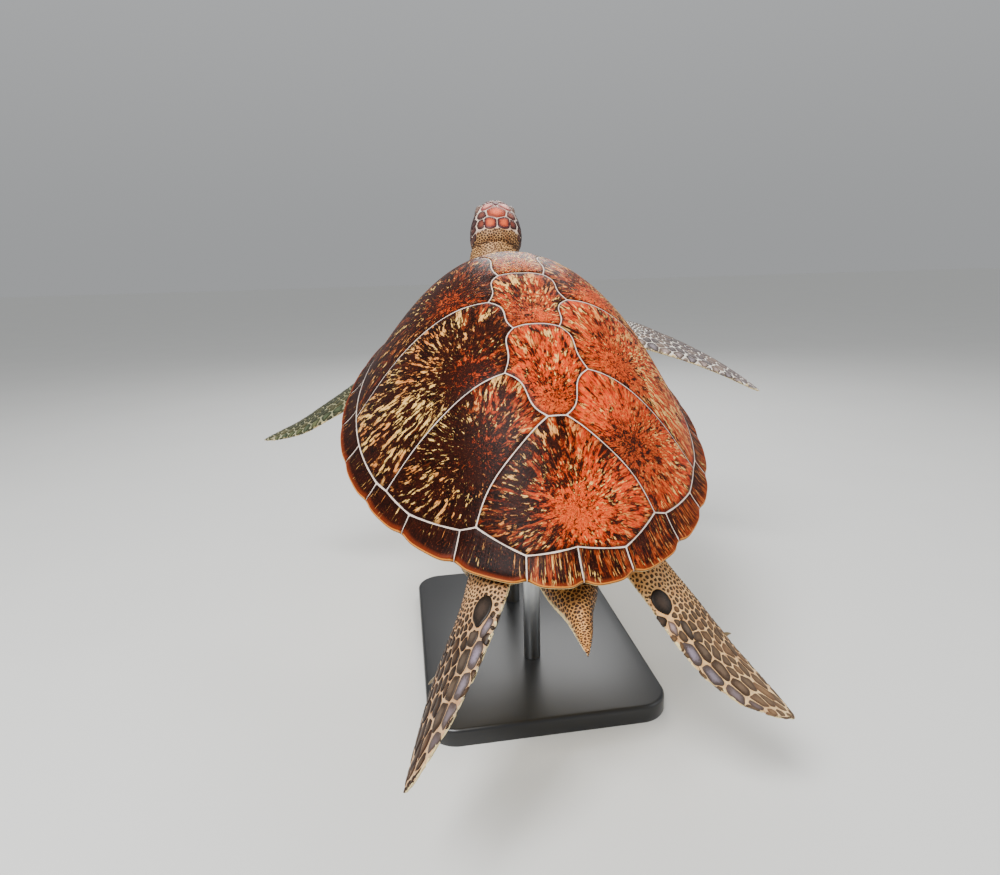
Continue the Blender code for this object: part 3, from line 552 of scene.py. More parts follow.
# %% Horn colours
def horn_colour(tree, patterns):
    """Brown and red ground, dark flecks, cream flecks."""
    marks = add(tree, "Attribute", out=1, attribute_name="marks")
    red, dark, cream = add(tree, "SeparateXYZ", {0: marks}, slice(0, 3))
    blotch, patch, dots, pale, deep_fleck, short, streak, grain = patterns.values()
    # Ground: orange-red where there is much red, else a warm brown
    fine = add(tree, "Mix", {0: red, 6: "#96551F", 7: "#F0702C"})
    ground = coated(
        tree, "#481C0C",
        (summed(tree, red, (blotch, 0.9), (patch, 0.35)), 1.00, 1.85, "#E03C10"),
        (summed(tree, short, (grain, 0.45)), 0.62, 0.90, fine), **SOFT)
    # Long rust streaks run out from the areola through the red
    rust = add(tree, "Mix", {0: red, 6: "#220A04", 7: "#6E1406"})
    rust = add(tree, "Mix", {0: 0.80, 6: ground, 7: rust})
    ground = coated(tree, ground, (streak, 0.51, 0.62, rust), **SOFT)
    # Dark flecks, denser where the dark amount is high, are near black with brown dots
    black = coated(tree, "#0D0301",
                   (summed(tree, patch, (grain, 0.6)), 0.62, 0.95, "#2C0E06"),
                   (dots, 0.58, 0.72, "#54220F"), **SOFT)
    dark_here = summed(tree, deep_fleck, (dark, 0.34), (patch, 0.42), (grain, 0.26))
    spots = summed(tree, short, (dark, 0.10), (patch, 0.20))
    # Cream flecks lie over both
    cream_here = summed(tree, pale, (cream, 0.27), (short, 0.66), (grain, 0.10))
    butter = coated(tree, "#DC8440", (blotch, 0.38, 0.62, "#F8C870"), **SOFT)
    return coated(tree, ground, (dark_here, 0.89, 1.05, black),
                  (spots, 0.72, 0.79, "#1C0703"),
                  (cream_here, 1.110, 1.215, butter), **SOFT)


print("coats on the horn, from the ground up: rust, black, brown and cream flecks")


# %% Horn material
RINGS = 1400.0              # growth rings in the bump, 4.5 mm apart


def horn_material():
    """Keratin with a dull, soft gloss: the flecks seem to lie in the horn, not on it."""
    mat, tree, place = new_material("keratin horn plates")
    patterns = horn_patterns(tree, place)
    horn = horn_colour(tree, patterns)
    edge, rim, under = (add(tree, "Attribute", attribute_name=key)
                        for key in ("edge", "rim", "under"))
    # The rim's edge is orange, the underside pale
    warm = add(tree, "Mix", {0: 0.5, 6: horn, 7: "#8A3416"})
    horn = coated(tree, horn, (rim, 0.008, 0.002, warm), **SOFT)
    lip = coated(tree, "#D98634", (under, 0.02, 0.25, "#6A3216"), **SOFT)
    horn = coated(tree, horn, (rim, 0.0012, 0.0003, lip), (under, 0.7, 1.0, "#DCC286"),
                  **SOFT)
    # Seams: a dark border, then the pale new horn
    wobble = summed(tree, edge, (patterns["patch"], 0.0012))
    border = add(tree, "Mix", {0: 0.72, 6: horn, 7: "#1C0904"})
    horn = coated(tree, horn, (wobble, 0.0070, 0.0020, border),
                  (wobble, 0.0017, 0.0010, "#EAD6C8"), **SOFT)
    rings = add(tree, "Math", {0: edge, 1: RINGS}, operation="MULTIPLY")
    rings = add(tree, "Math", {0: rings}, operation="SINE")
    height = summed(tree, patterns["cream"], (rings, 0.05), (patterns["short"], 0.4))
    return shaded(mat, horn, 0.40, (0.35, 0.0012, height), Specular_IOR_Level=0.06)


print("growth rings", round(2000 * math.pi / RINGS, 1), "mm apart")

# %% Make the plates
HORN_STEP = 0.0036                      # between the points of a plate
HORN_RINGS = (0.0008, 0.0018, 0.0034)   # closer rows of points along its outline
SEAM_DIP, DIP_WIDE = 0.0011, 0.0036     # the horn is lower by its seams
SWELL = 0.0006                          # and a little higher in its middle
RIM_ROUND, ROUND_WIDE = 0.0029, 0.0045  # the rim's edge, above and below


def rounded(gap, wide):
    """Rises from nought at an edge to one, like a quarter of a circle."""
    return np.sqrt(np.clip(1 - (1 - np.clip(gap / wide, 0, 1)) ** 2, 0, 1))


def make_plate(name, outline, seam_count):
    count = len(outline)
    on_seam = np.arange(count) < seam_count
    if area_of(outline) < 0:
        # Turned round, the seam points still come first
        outline, on_seam = (np.concatenate([v[:1], v[1:][::-1]]) for v in (outline, on_seam))
        on_seam = np.roll(on_seam, -1) & (on_seam | (np.arange(count) == count - 1))
    closed = np.roll(outline, -1, 0)
    plan, triangles = plan_mesh(outline, HORN_STEP, HORN_RINGS)
    edge = distance_to(plan, outline[on_seam], closed[on_seam])
    rim = (np.full(len(plan), 1.0) if on_seam.all()
           else distance_to(plan, outline[~on_seam], closed[~on_seam]))
    x, y = plan.T
    swell = SWELL * smooth_step(0.002, 0.02, edge)
    dip = SEAM_DIP * (1 - smooth_step(0.0, DIP_WIDE, edge))
    round_off = RIM_ROUND * (1 - rounded(rim, ROUND_WIDE))
    top = dome(x, y) + swell - dip - round_off
    bottom = dome(x, y) - plate_thickness(x, y) + round_off
    points = np.vstack([np.column_stack([x, y, z]) for z in (top, bottom)])
    ray, marks = marks_of(name, points)
    values = {"ray": ray, "marks": marks, "edge": np.tile(edge, 2), "rim": np.tile(rim, 2),
              "under": np.repeat([0.0, 1.0], len(plan))}
    made = new_piece(f"{name}_horn", moved(points, POSE),
                     slab_faces(triangles, len(plan), count), horn, "horn_plate", values)
    made.data.set_sharp_from_angle(angle=math.radians(50))
    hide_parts(name)
    return made


horn = horn_material()
plates = [make_plate(name, *found) for name, found in outlines.items()]
print("plates", len(plates), "triangles", sum(len(p.data.loops) - 2 * len(p.data.polygons)
                                              for p in plates))

# %% [markdown]
# ## The skin
# Flippers, neck, head, tail and the soft body are one skin in life, so they are one piece
# here. Each limb is a loft: oval sections along a smooth line. The lofts are joined and
# remeshed with small voxels, which rounds the joints between them like flesh.

# %% Curves and the limbs' tables
COAT = 0.0009               # how far the skin lies inside the solids, for the scales on it


def spline(a, b, c, d, u):
    """A smooth curve from b to c, with its neighbours a and d."""
    return 0.5 * (2 * b + (c - a) * u + (2 * a - 5 * b + 4 * c - d) * u ** 2
                  + (3 * b - a - 3 * c + d) * u ** 3)


def curve(rows, shares):
    """Points on a smooth curve through the rows, one for each share of its length."""
    rows = np.array(rows, float)
    padded = np.vstack([2 * rows[0] - rows[1], rows, 2 * rows[-1] - rows[-2]])
    place = np.clip(shares, 0, 1) * (len(rows) - 1)
    index = np.minimum(place.astype(int), len(rows) - 2)
    u = (place - index)[:, None]
    return spline(*(padded[index + k] for k in range(4)), u)


# Blade rows: share of the length, reach of the leading and trailing edge, half thickness
FORE_BLADE = [(0.0, .052, .052, .030), (0.15, .056, .054, .024), (0.30, .056, .060, .018),
              (0.45, .050, .060, .013), (0.60, .042, .053, .010), (0.75, .031, .042, .008),
              (0.88, .019, .028, .006), (0.96, .009, .014, .004), (1.0, .002, .003, .0025)]
HIND_BLADE = [(0.0, .040, .038, .028), (0.15, .038, .037, .022), (0.30, .040, .042, .016),
              (0.45, .044, .050, .012), (0.60, .044, .052, .009), (0.75, .036, .044, .007),
              (0.88, .022, .028, .005), (0.96, .010, .014, .004), (1.0, .002, .003, .0025)]
# The left one is fuller behind the knee
HIND_LEFT_BLADE = [(at, lead, trail + 0.009 * math.exp(-((at - 0.24) / 0.10) ** 2), thick)
                   for at, lead, trail, thick in HIND_BLADE]
LIMBS = {
    "fore_right": ([(0.165, 0.325, -0.030), (0.275, 0.318, 0.012), (0.373, 0.277, 0.000),
                    (0.475, 0.228, -0.030), (0.570, 0.177, -0.072)],
                   FORE_BLADE, (0.2, 1.0, 0.0), (2, 4)),
    "fore_left": ([(-0.165, 0.325, -0.032), (-0.262, 0.288, -0.064), (-0.357, 0.281, -0.120),
                   (-0.441, 0.312, -0.187), (-0.533, 0.349, -0.245)],
                  FORE_BLADE, (-0.2, 1.0, 0.0), (14, 20)),
    "hind_right": ([(0.085, -0.285, 0.010), (0.134, -0.380, -0.022), (0.203, -0.460, -0.085),
                    (0.291, -0.520, -0.140)],
                   HIND_BLADE, (1.0, 0.9, 0.0), (5, 10)),
    "hind_left": ([(-0.085, -0.290, 0.010), (-0.124, -0.395, 0.005), (-0.178, -0.490, -0.031),
                   (-0.232, -0.576, -0.081)],
                  HIND_LEFT_BLADE, (-1.0, 0.55, 0.0), (40, 55))}
# Neck and tail rows: x of the middle, top (y, z), bottom (y, z), half width
NECK_ROWS = [
    (0.000, 0.270, 0.026, 0.262, -.086, .124), (0.003, 0.350, 0.029, 0.350, -.095, .120),
    (0.008, 0.405, 0.038, 0.432, -.087, .111), (0.014, 0.440, 0.062, 0.502, -.056, .095),
    (0.020, 0.466, 0.092, 0.553, -.010, .074), (0.026, 0.492, 0.125, 0.587, 0.044, .0625),
    (0.031, 0.519, 0.150, 0.604, 0.082, .0575), (0.035, 0.547, 0.164, 0.607, 0.103, .046)]
TAIL_ROWS = [
    (0.000, -.290, 0.024, -.290, -.048, .050), (0.001, -.373, 0.028, -.373, -.036, .038),
    (0.000, -.420, 0.024, -.420, -.025, .0190), (-.001, -.453, 0.013, -.451, -.015, .0110),
    (-.003, -.480, -.004, -.480, -.008, .002)]
print("limbs", list(LIMBS))


# %% Flippers, neck and tail
def blade_frames(path, lead, roll, shares):
    """Middles, directions to the leading edge and normals of a limb's upper side."""
    centre = curve(path, shares)
    along = unit(curve(path, shares + 0.01) - curve(path, shares - 0.01))
    lead = np.array(lead, float)
    axis = unit(lead - along * (along @ lead)[:, None])
    normal = np.cross(along, axis)
    normal *= np.where(normal[:, 2:] > 0, 1, -1)
    turn = np.radians(roll[0] + (roll[1] - roll[0]) * shares)[:, None]
    return (centre, axis * np.cos(turn) - normal * np.sin(turn),
            normal * np.cos(turn) + axis * np.sin(turn))


def once_round(count):
    """Angles once round, as a row."""
    return np.linspace(0, 2 * math.pi, count, endpoint=False)[None]


def blade_grid(name, rows=110, count=64):
    """Points of a flipper's loft: rows from root to tip, columns round from its lead."""
    path, blade, lead, roll = LIMBS[name]
    shares = np.linspace(0, 1, rows) ** 0.9
    centre, axis, normal = blade_frames(path, lead, roll, shares)
    at, *reaches = np.array(blade).T
    ahead, behind, thick = (np.interp(shares, at, reach)[:, None] for reach in reaches)
    across, up = np.cos(once_round(count)), np.sin(once_round(count))
    reach = np.where(across > 0, ahead - COAT, behind - COAT) * across
    taper = np.where(across > 0, 1.0, 1 - 0.45 * across ** 2)
    rise = (thick - 0.6 * COAT) * up * taper
    return centre[:, None] + axis[:, None] * reach[..., None] + normal[:, None] * rise[..., None]


def oval_grid(table, rows=90, count=96):
    """Points of a neck or tail, whose sections stand on its top and bottom lines."""
    x, top_y, top_z, low_y, low_z, wide = curve(table, np.linspace(0, 1, rows)).T
    middle = np.stack([x, (top_y + low_y) / 2, (top_z + low_z) / 2], 1)
    rise = np.stack([0 * x, (top_y - low_y) / 2, (top_z - low_z) / 2], 1)
    rise = rise - unit(rise) * COAT
    side = np.stack([wide - COAT, 0 * x, 0 * x], 1)
    turn = once_round(count)[..., None]
    return middle[:, None] + side[:, None] * np.cos(turn) + rise[:, None] * np.sin(turn)


print("tail", round(1000 * (TAIL_ROWS[0][1] - TAIL_ROWS[-1][1])), "mm long")

# %% Head
# Head rows: place along it, half width, top, bottom
HEAD_ROWS = [
    (-0.088, .040, .033, -.030), (-0.078, .051, .0445, -.039), (-0.059, .0595, .0505, -.048),
    (-0.035, .0612, .0525, -.052), (-0.010, .0585, .0520, -.053), (0.012, .0530, .0490, -.052),
    (0.034, .0465, .0430, -.049), (0.051, .0370, .0340, -.045), (0.065, .0270, .0225, -.039),
    (0.074, .0170, .0100, -.033), (0.078, .0070, -.0040, -.024)]
SQUARENESS = 0.82           # one gives ovals, less gives fuller corners


def head_grid(inset=COAT, rows=90, count=96):
    """Points of the head in its own frame, with slightly squared sections."""
    place, wide, top, low = curve(HEAD_ROWS, np.linspace(0, 1, rows)).T
    middle = low + 0.46 * (top - low)
    c, s = np.cos(once_round(count)), np.sin(once_round(count))
    x = (wide[:, None] - inset) * np.sign(c) * np.abs(c) ** SQUARENESS
    reach = np.where(s > 0, (top - middle)[:, None], (middle - low)[:, None]) - inset
    z = middle[:, None] + reach * np.sign(s) * np.abs(s) ** SQUARENESS
    y = place - inset * (place > 0.05)
    return np.stack([x, np.broadcast_to(y[:, None], x.shape), z], -1)


print("head", 2000 * max(row[1] for row in HEAD_ROWS), "mm wide")


# %% The soft body under the shell
BELLY_DEPTH, BELLY_FLAT = 0.080, 0.42       # flat inside this share of the rim
# Outline of the lower shell's right half
BELLY_OUTLINE = [(0.0, 0.335), (0.075, 0.322), (0.125, 0.278), (0.155, 0.215),
                 (0.222, 0.172), (0.255, 0.085), (0.255, -0.040), (0.220, -0.130),
                 (0.135, -0.170), (0.100, -0.255), (0.052, -0.325), (0.0, -0.340)]


def belly(x, y):
    bowl = np.clip((plan_radius(x, y) - BELLY_FLAT) / (1 - BELLY_FLAT), 0, 1)
    return -BELLY_DEPTH * (1 - bowl ** 2.3) + 0.06 * (y / HALF_LENGTH) ** 2


def trunk_grid(count=160):
    """Rows of rings, from the top of the body under the plates, round the flank, down."""
    angles = np.linspace(0, 360, count, endpoint=False)
    rows = []
    for radius in (0.03, 0.2, 0.4, 0.6, 0.8, 0.9, 0.945):
        plan = polar(angles, radius)
        x, y = plan.T
        rows.append(np.column_stack([x, y, dome(x, y) - plate_thickness(x, y) - 0.0012]))
    turn = []
    for radius, drop, share in ((0.955, 0.0025, 1), (0.945, 0.012, 1), (0.910, 0.016, 0.35),
                                (0.84, 0, 0)):
        x, y = polar(angles, radius).T
        under = dome(x, y) - (plate_thickness(x, y) if share == 1 else 0) - drop
        turn.append(np.column_stack([x, y, share * under + (1 - share) * belly(x, y)]))
    turn = np.stack(turn)
    for t in np.linspace(0, 1, 13):
        rows.append(np.stack([curve(turn[:, i], np.array([t]))[0] for i in range(count)]))
    for radius in (0.75, 0.66, 0.55, 0.45, 0.3, 0.15, 0.03):
        x, y = polar(angles, radius).T
        rows.append(np.column_stack([x, y, belly(x, y)]))
    return np.stack(rows)


def ring_faces(rows, count):
    """Quads between rings of count points each."""
    return [[r * count + i, r * count + (i + 1) % count, (r + 1) * count + (i + 1) % count,
             (r + 1) * count + i] for r in range(rows - 1) for i in range(count)]


def tube_faces(rows, count):
    """Rings of quads with a flat cap at each end."""
    return ring_faces(rows, count) + [list(range(count))[::-1],
                                      list(range((rows - 1) * count, rows * count))]


# Muscle at the root of each limb: middle and half sizes
MUSCLES = {"shoulder_right": ((0.150, 0.300, -0.034), (0.088, 0.074, 0.040)),
           "shoulder_left": ((-0.155, 0.300, -0.040), (0.088, 0.074, 0.044)),
           "haunch_right": ((0.088, -0.290, -0.006), (0.054, 0.062, 0.030)),
           "haunch_left": ((-0.092, -0.292, -0.004), (0.054, 0.064, 0.032))}


def ball_grid(middle, sizes, rows=24, count=32):
    angle = np.linspace(0.04, math.pi - 0.04, rows)[:, None]
    turn = once_round(count)
    ball = np.stack([np.sin(angle) * np.cos(turn), np.sin(angle) * np.sin(turn),
                     np.cos(angle) + 0 * turn], -1)
    return np.array(middle) + ball * sizes


GRIDS = {name: moved(blade_grid(name), POSE) for name in LIMBS}
GRIDS["neck"] = moved(oval_grid(NECK_ROWS), POSE)
GRIDS["tail"] = moved(oval_grid(TAIL_ROWS, 60, 48), POSE)
GRIDS["head"] = moved(head_grid(), HEAD)
GRIDS["trunk"] = moved(trunk_grid(), POSE)
GRIDS.update({name: moved(ball_grid(*muscle), POSE) for name, muscle in MUSCLES.items()})
print("lofts", {name: grid.shape[:2] for name, grid in GRIDS.items()})

# %% One skin
SKIN_VOXEL = 0.0031
SKIN_KEPT = 0.60            # share of the triangles kept, fewest where the skin is flat
EYE_AT = np.array([0.0345, 0.032, 0.012])
EYE_RADIUS = 0.0148


def face_out(mesh):
    """Turns the faces of a closed mesh outwards."""
    bm = bmesh.new()
    bm.from_mesh(mesh)
    bmesh.ops.recalc_face_normals(bm, faces=bm.faces)
    bm.to_mesh(mesh)
    bm.free()


def join_lofts():
    """One mesh of all the closed lofts, each turned outwards."""
    points, faces = [], []
    for grid in GRIDS.values():
        start = sum(len(p) for p in points)
        points.append(grid.reshape(-1, 3))
        loft = loose_mesh("loft", points[-1], tube_faces(*grid.shape[:2]))
        face_out(loft)
        faces += [[i + start for i in p.vertices] for p in loft.polygons]
        bpy.data.meshes.remove(loft)
    return new_object("skin", loose_mesh("skin", np.vstack(points), faces))


def apply_modifier(obj, kind, **settings):
    bpy.context.view_layer.objects.active = obj
    mod = obj.modifiers.new(kind.lower(), kind)
    for key, value in settings.items():
        setattr(mod, key, value)
    bpy.ops.object.modifier_apply(modifier=mod.name)


def vertex_array(mesh):
    points = np.empty(len(mesh.vertices) * 3)
    mesh.vertices.foreach_get("co", points)
    return points.reshape(-1, 3)


def surface_of(mesh):
    """A mesh's surface, which finds its nearest point and normal."""
    return BVHTree.FromPolygons(vertex_array(mesh).tolist(),
                                [p.vertices[:] for p in mesh.polygons])


def open_back(obj):
    """Takes away the skin that the plates hide, well inside their rim."""
    x, y, z = moved(vertex_array(obj.data), POSE.inverted()).T
    hidden = (plan_radius(x, y) < 0.88) & (z > dome(x, y) - PLATE - 0.012) & (z > 0.02)
    bm = bmesh.new()
    bm.from_mesh(obj.data)
    bm.verts.ensure_lookup_table()
    bmesh.ops.delete(bm, geom=[bm.verts[i] for i in np.flatnonzero(hidden)], context="VERTS")
    bm.to_mesh(obj.data)
    bm.free()


skin = join_lofts()
skin.select_set(True)
apply_modifier(skin, "REMESH", mode="VOXEL", voxel_size=SKIN_VOXEL, use_smooth_shade=True)
apply_modifier(skin, "SMOOTH", factor=0.5, iterations=4)
open_back(skin)
apply_modifier(skin, "DECIMATE", ratio=SKIN_KEPT)
skin_points, surface = vertex_array(skin.data), surface_of(skin.data)
print("skin points", len(skin_points), "faces", len(skin.data.polygons))

# %% [markdown]
# ## The skin's colours
# Between its scales the skin is tan to orange on the hind limbs and neck, cream below,
# pale on the right front flipper and olive on the left one. The limbs on the left are darker
# than those on the right: painted shade on the left, painted light on the right. The scales
# are dark, and the large ones paler in their middle. The colours could be painted on by
# hand; here a table holds them, and each point of the skin takes those of the loft it came
# from.

# %% Colour fields
def rgb(code):
    return np.array(paint(code)[:3])


CREAM, PALE_SCALE = rgb("#EBD9AC"), rgb("#E6CF98")      # skin and scales below
OLIVE, OLIVE_SCALE = rgb("#A98A50"), rgb("#5E4A28")     # and round the tail
# Skin between the scales, above: at the root and at the tip. Here and in the scales' table
# the left limbs are darker than the right ones: painted shade on the left, painted light on the
# right
SKIN_ABOVE = {"hind_right": ("#EAAA5C", "#F8D49C"), "hind_left": ("#C08E58", "#D8B184"),
              "fore_right": ("#EFE8DA", "#F4F0E8"), "fore_left": ("#8E8C66", "#AAA882"),
              # The tail's skin is darker at its root: partly its own colour, partly painted shadow
              # of the shell
              "neck": ("#BE9560", "#C8965C"), "tail": ("#A67E48", "#EBA558"),
              "head": ("#E9CDBB", "#EAD2C0"), "trunk": ("#BFA36E", "#BFA36E")}
SCALE_ABOVE = {"hind_right": ("#22150C", "#5A4636"), "hind_left": ("#1A100A", "#2A1D18"),
               "fore_right": ("#3E3634", "#6E6464"), "fore_left": ("#2A2C1C", "#343726"),
               "neck": ("#4A3320", "#3A2417"), "tail": ("#241608", "#2E140A"),
               "head": ("#4A2E2A", "#4A2E2A"), "trunk": ("#8A7548", "#8A7548")}
# Each muscle has the colours of its limb's root
for muscle in MUSCLES:
    limb = muscle.replace("shoulder", "fore").replace("haunch", "hind")
    SKIN_ABOVE[muscle] = SKIN_ABOVE[limb][:1] * 2
    SCALE_ABOVE[muscle] = SCALE_ABOVE[limb][:1] * 2


def upness(name, share, turn):
    """One on the side of a loft that is dark in life, nought on its pale underside."""
    if name == "trunk":
        return np.zeros_like(share)
    if name in MUSCLES:
        return smooth_step(0.48, 0.30, share)
    lift = {"neck": 0.05, "head": 0.3, "tail": 0.1, "fore_left": 0.25}.get(name, 0.0)
    return smooth_step(-0.22, 0.12, np.sin(turn) + lift)


def rear_flesh(name, share, turn):
    """One on the soft flesh round the tail and the hind limbs, which is olive and tan."""
    if name.startswith("haunch"):
        return smooth_step(0.80, 0.55, share)
    if name != "trunk":
        return np.zeros_like(share)
    return smooth_step(0.60, 0.88, np.cos(turn)) * smooth_step(0.97, 0.80, share)


def skin_colour(name, share, turn):
    root, tip = (rgb(code) for code in SKIN_ABOVE[name])
    if name == "head":
        share = smooth_step(0.15, 0.20, share)
        root = rgb(SKIN_ABOVE["neck"][1])
    found = between(CREAM, between(root, tip, share), upness(name, share, turn))
    return between(found, OLIVE, rear_flesh(name, share, turn))


def scale_colour(name, share, turn):
    root, tip = (rgb(code) for code in SCALE_ABOVE[name])
    if name == "head":
        share = smooth_step(0.19, 0.15, share)
        tip = rgb(SCALE_ABOVE["neck"][1])
    found = between(PALE_SCALE, between(root, tip, share), upness(name, share, turn))
    return between(found, OLIVE_SCALE, rear_flesh(name, share, turn))


def tree_of(points):
    """A tree that finds the points near a place."""
    tree = KDTree(len(points))
    for i, point in enumerate(points):
        tree.insert(point, i)
    tree.balance()
    return tree


def colour_skin():
    """Gives each skin point the colour of its place on the nearest loft."""
    tree = tree_of(np.vstack([grid.reshape(-1, 3) for grid in GRIDS.values()]).tolist())
    homes = []
    for number, grid in enumerate(GRIDS.values()):
        rows, count = grid.shape[:2]
        r, i = np.divmod(np.arange(rows * count), count)
        homes.append(np.column_stack([number + 0 * r, r / (rows - 1), 2 * math.pi * i / count]))
    homes = np.vstack(homes)[[tree.find(p)[1] for p in skin_points]]
    ground = np.zeros((len(skin_points), 3))
    for number, name in enumerate(GRIDS):
        mine = homes[:, 0] == number
        ground[mine] = skin_colour(name, *homes[mine, 1:].T)
    # Painted shade: the skin along the closed mouth, between the two horns, is near black
    side = moved(skin_points, HEAD.inverted())
    mouth = (np.abs(side[:, 2] + 0.0270) < 0.0045) & (side[:, 1] > 0.004)
    ground[mouth & (np.abs(side[:, 0]) < 0.07)] = rgb("#1E120C")
    return ground


def skin_material():
    """Leathery skin: fine mottles and folds give it a soft, dry sheen, with no shine."""
    mat, tree, place = new_material("soft reptile skin")
    ground = add(tree, "Attribute", out=1, attribute_name="ground")
    # Mottles of 14 mm and folds of 2 mm
    mottle = add(tree, "TexNoise", {"Vector": place, "Scale": 70.0, "Detail": 4.0,
                                    "Roughness": 0.6})
    folds = add(tree, "TexVoronoi", {"Vector": place, "Scale": 520.0})
    darker = add(tree, "Mix", {0: 1.0, 6: ground, 7: "#B08A68"}, blend_type="MULTIPLY")
    return shaded(mat, coated(tree, ground, (mottle, 0.42, 0.85, darker)), 0.55,
                  (0.5, 0.0007, folds), Subsurface_Weight=0.06,
                  Subsurface_Radius=(0.004, 0.002, 0.001))


store(skin.data, {"ground": colour_skin()})
skin.data.materials.append(skin_material())
finished(skin)
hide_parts("trunk", "neck", "head", "tail", "fore_flipper_right", "fore_flipper_left",
            "hind_flipper_right", "hind_flipper_left")
print("skin coloured")

# %% [markdown]
# ## Scales
# Each scale is a small solid pad on the skin. A bump pattern would be flat from the side
# and the same all over. So seeds are thrown over each loft with a spacing that follows the
# scale size there, and the pads grow until they meet, less the gap of bare skin, which
# gives the many-sided shapes of real scales. Large plates, such as those of the head, are
# set first and the small ones fill in round them.

# %% Seeds
SEEDS = 14                  # thrown for each scale that has room, so that none is missing


def local_frames(grid, share, turn):
    """Positions and directions along, on a loft grid."""
    rows, count = grid.shape[:2]
    wrapped = np.concatenate([grid, grid[:, :1]], 1)

    def at(s, t):
        r = np.clip(s, 0, 1) * (rows - 1)
        c = (t / (2 * math.pi) % 1) * count
        i, j = np.minimum(r.astype(int), rows - 2), np.minimum(c.astype(int), count - 1)
        u, v = (r - i)[:, None], (c - j)[:, None]
        return (wrapped[i, j] * (1 - u) * (1 - v) + wrapped[i + 1, j] * u * (1 - v)
                + wrapped[i, j + 1] * (1 - u) * v + wrapped[i + 1, j + 1] * u * v)

    place = at(share, turn)
    return place, unit(at(share + 0.012, turn) - at(share - 0.012, turn))


def candidates(grid, size_of):
    """Random places on a loft, denser where the scales are small."""
    rows, count = grid.shape[:2]
    wrapped = np.concatenate([grid, grid[:, :1]], 1)
    side_a = np.linalg.norm(np.diff(wrapped[:-1], axis=1), axis=2)
    side_b = np.linalg.norm(np.diff(grid, axis=0), axis=2)
    share = (np.arange(rows - 1) + 0.5)[:, None] / (rows - 1) + np.zeros((1, count))
    turn = (np.arange(count) + 0.5)[None] / count * 2 * math.pi + np.zeros((rows - 1, 1))
    weight = (side_a * side_b) / size_of(share.ravel(), turn.ravel()).reshape(share.shape) ** 2
    total = weight.sum()
    picked = rng.choice(weight.size, size=int(SEEDS * total), p=(weight / total).ravel())
    r, c = np.divmod(picked, count)
    return ((r + rng.random(len(r))) / (rows - 1),
            (c + rng.random(len(c))) / count * 2 * math.pi)


print("seeds for each scale", SEEDS)


# %% Spacing and reach of the scales
SIDE_APART = 0.012          # keeps the scales of a thin blade's two sides apart
SIDES_SMALL, SIDES_LARGE = 11, 26
LARGE = 0.011               # wider scales have more sides and look at more neighbours
UNMET = 9.0                 # metres, where no neighbour is met
SPACING, SPACING_FIXED = 0.42, 0.52     # of two seeds, in shares of each one's width
AHEAD = 0.08                # a neighbour farther round than this cosine sets no limit


def straightened(grid, share, place, stretch):
    """The places with the limb pulled straight and shortened by its scales' stretch."""
    middle = grid.mean(1)
    step = np.linalg.norm(np.diff(middle, axis=0), axis=1)
    at = np.linspace(0, 1, len(middle))
    factor = np.interp((at[1:] + at[:-1]) / 2, *stretch)
    run = np.concatenate([[0], np.cumsum(step / factor)])
    centre = np.stack([np.interp(share, at, middle[:, k]) for k in range(3)], 1)
    forward = unit(middle[-1] - middle[0])
    offset = place - centre
    offset = offset - forward * (offset @ forward)[:, None]
    return offset + forward * np.interp(share, at, run)[:, None]


def spaced(points, sizes, fixed):
    """Thins the points greedily to the spacing of their sizes; fixed ones come first."""
    tree = tree_of(points)
    alive = np.ones(len(points), bool)
    kept = []
    largest = sizes[fixed:].max() if len(sizes) > fixed else 0
    for i in range(len(points)):
        if not alive[i]:
            continue
        kept.append(i)
        own = sizes[i] * (SPACING_FIXED if i < fixed else SPACING)
        for _, j, gap in tree.find_range(points[i], own + SPACING * largest):
            if j > i and j >= fixed and gap < own + SPACING * sizes[j]:
                alive[j] = False
    return np.array(kept)


def cell_radii(seed, most, sides, chosen):
    """How far each chosen pad reaches in each direction before it meets a neighbour."""
    place, along, across, stretch, size = (
        seed[key] for key in ("place", "along", "across", "stretch", "size"))
    tree = tree_of(place)
    near = 60 if sides == SIDES_LARGE else 26
    ids = np.array([[j for _, j, _ in tree.find_n(place[i], near)] for i in chosen])
    theta = once_round(sides)[0]
    delta = place[ids] - place[chosen][:, None]
    u = (delta * along[chosen][:, None]).sum(2) / stretch[chosen][:, None]
    v = (delta * across[chosen][:, None]).sum(2)
    flat = np.hypot(u, v)
    normal = np.cross(along, across)
    same_side = (normal[ids] * normal[chosen][:, None]).sum(2) > 0.1
    keep = (ids != chosen[:, None]) & (flat > 1e-6) & same_side
    r_own, r_other = size[chosen][:, None] / 2, size[ids] / 2
    meet = (flat ** 2 + r_own ** 2 - r_other ** 2) / (2 * np.maximum(flat, 1e-9))
    meet = np.where(keep, np.maximum(meet, 0.15 * r_own), UNMET)
    facing = np.cos(theta[None, None] - np.arctan2(v, u)[..., None])
    bound = np.where(facing > AHEAD, meet[..., None] / np.maximum(facing, AHEAD), UNMET)
    return theta, np.minimum(bound.min(1), most * size[chosen][:, None])


print("scales from", LARGE * 1000, "mm have", SIDES_LARGE, "sides, the others", SIDES_SMALL)


# %% Solid scales
# Rows of a pad: share of its reach, and of its height, but the first is sunk in the skin
PROFILE = ((1.0, 0.0), (0.97, 0.45), (0.78, 0.96), (0.0, 1.0))
SUNK = -0.0004
PATCH = 0.0015              # radius of a scale's patch on the map


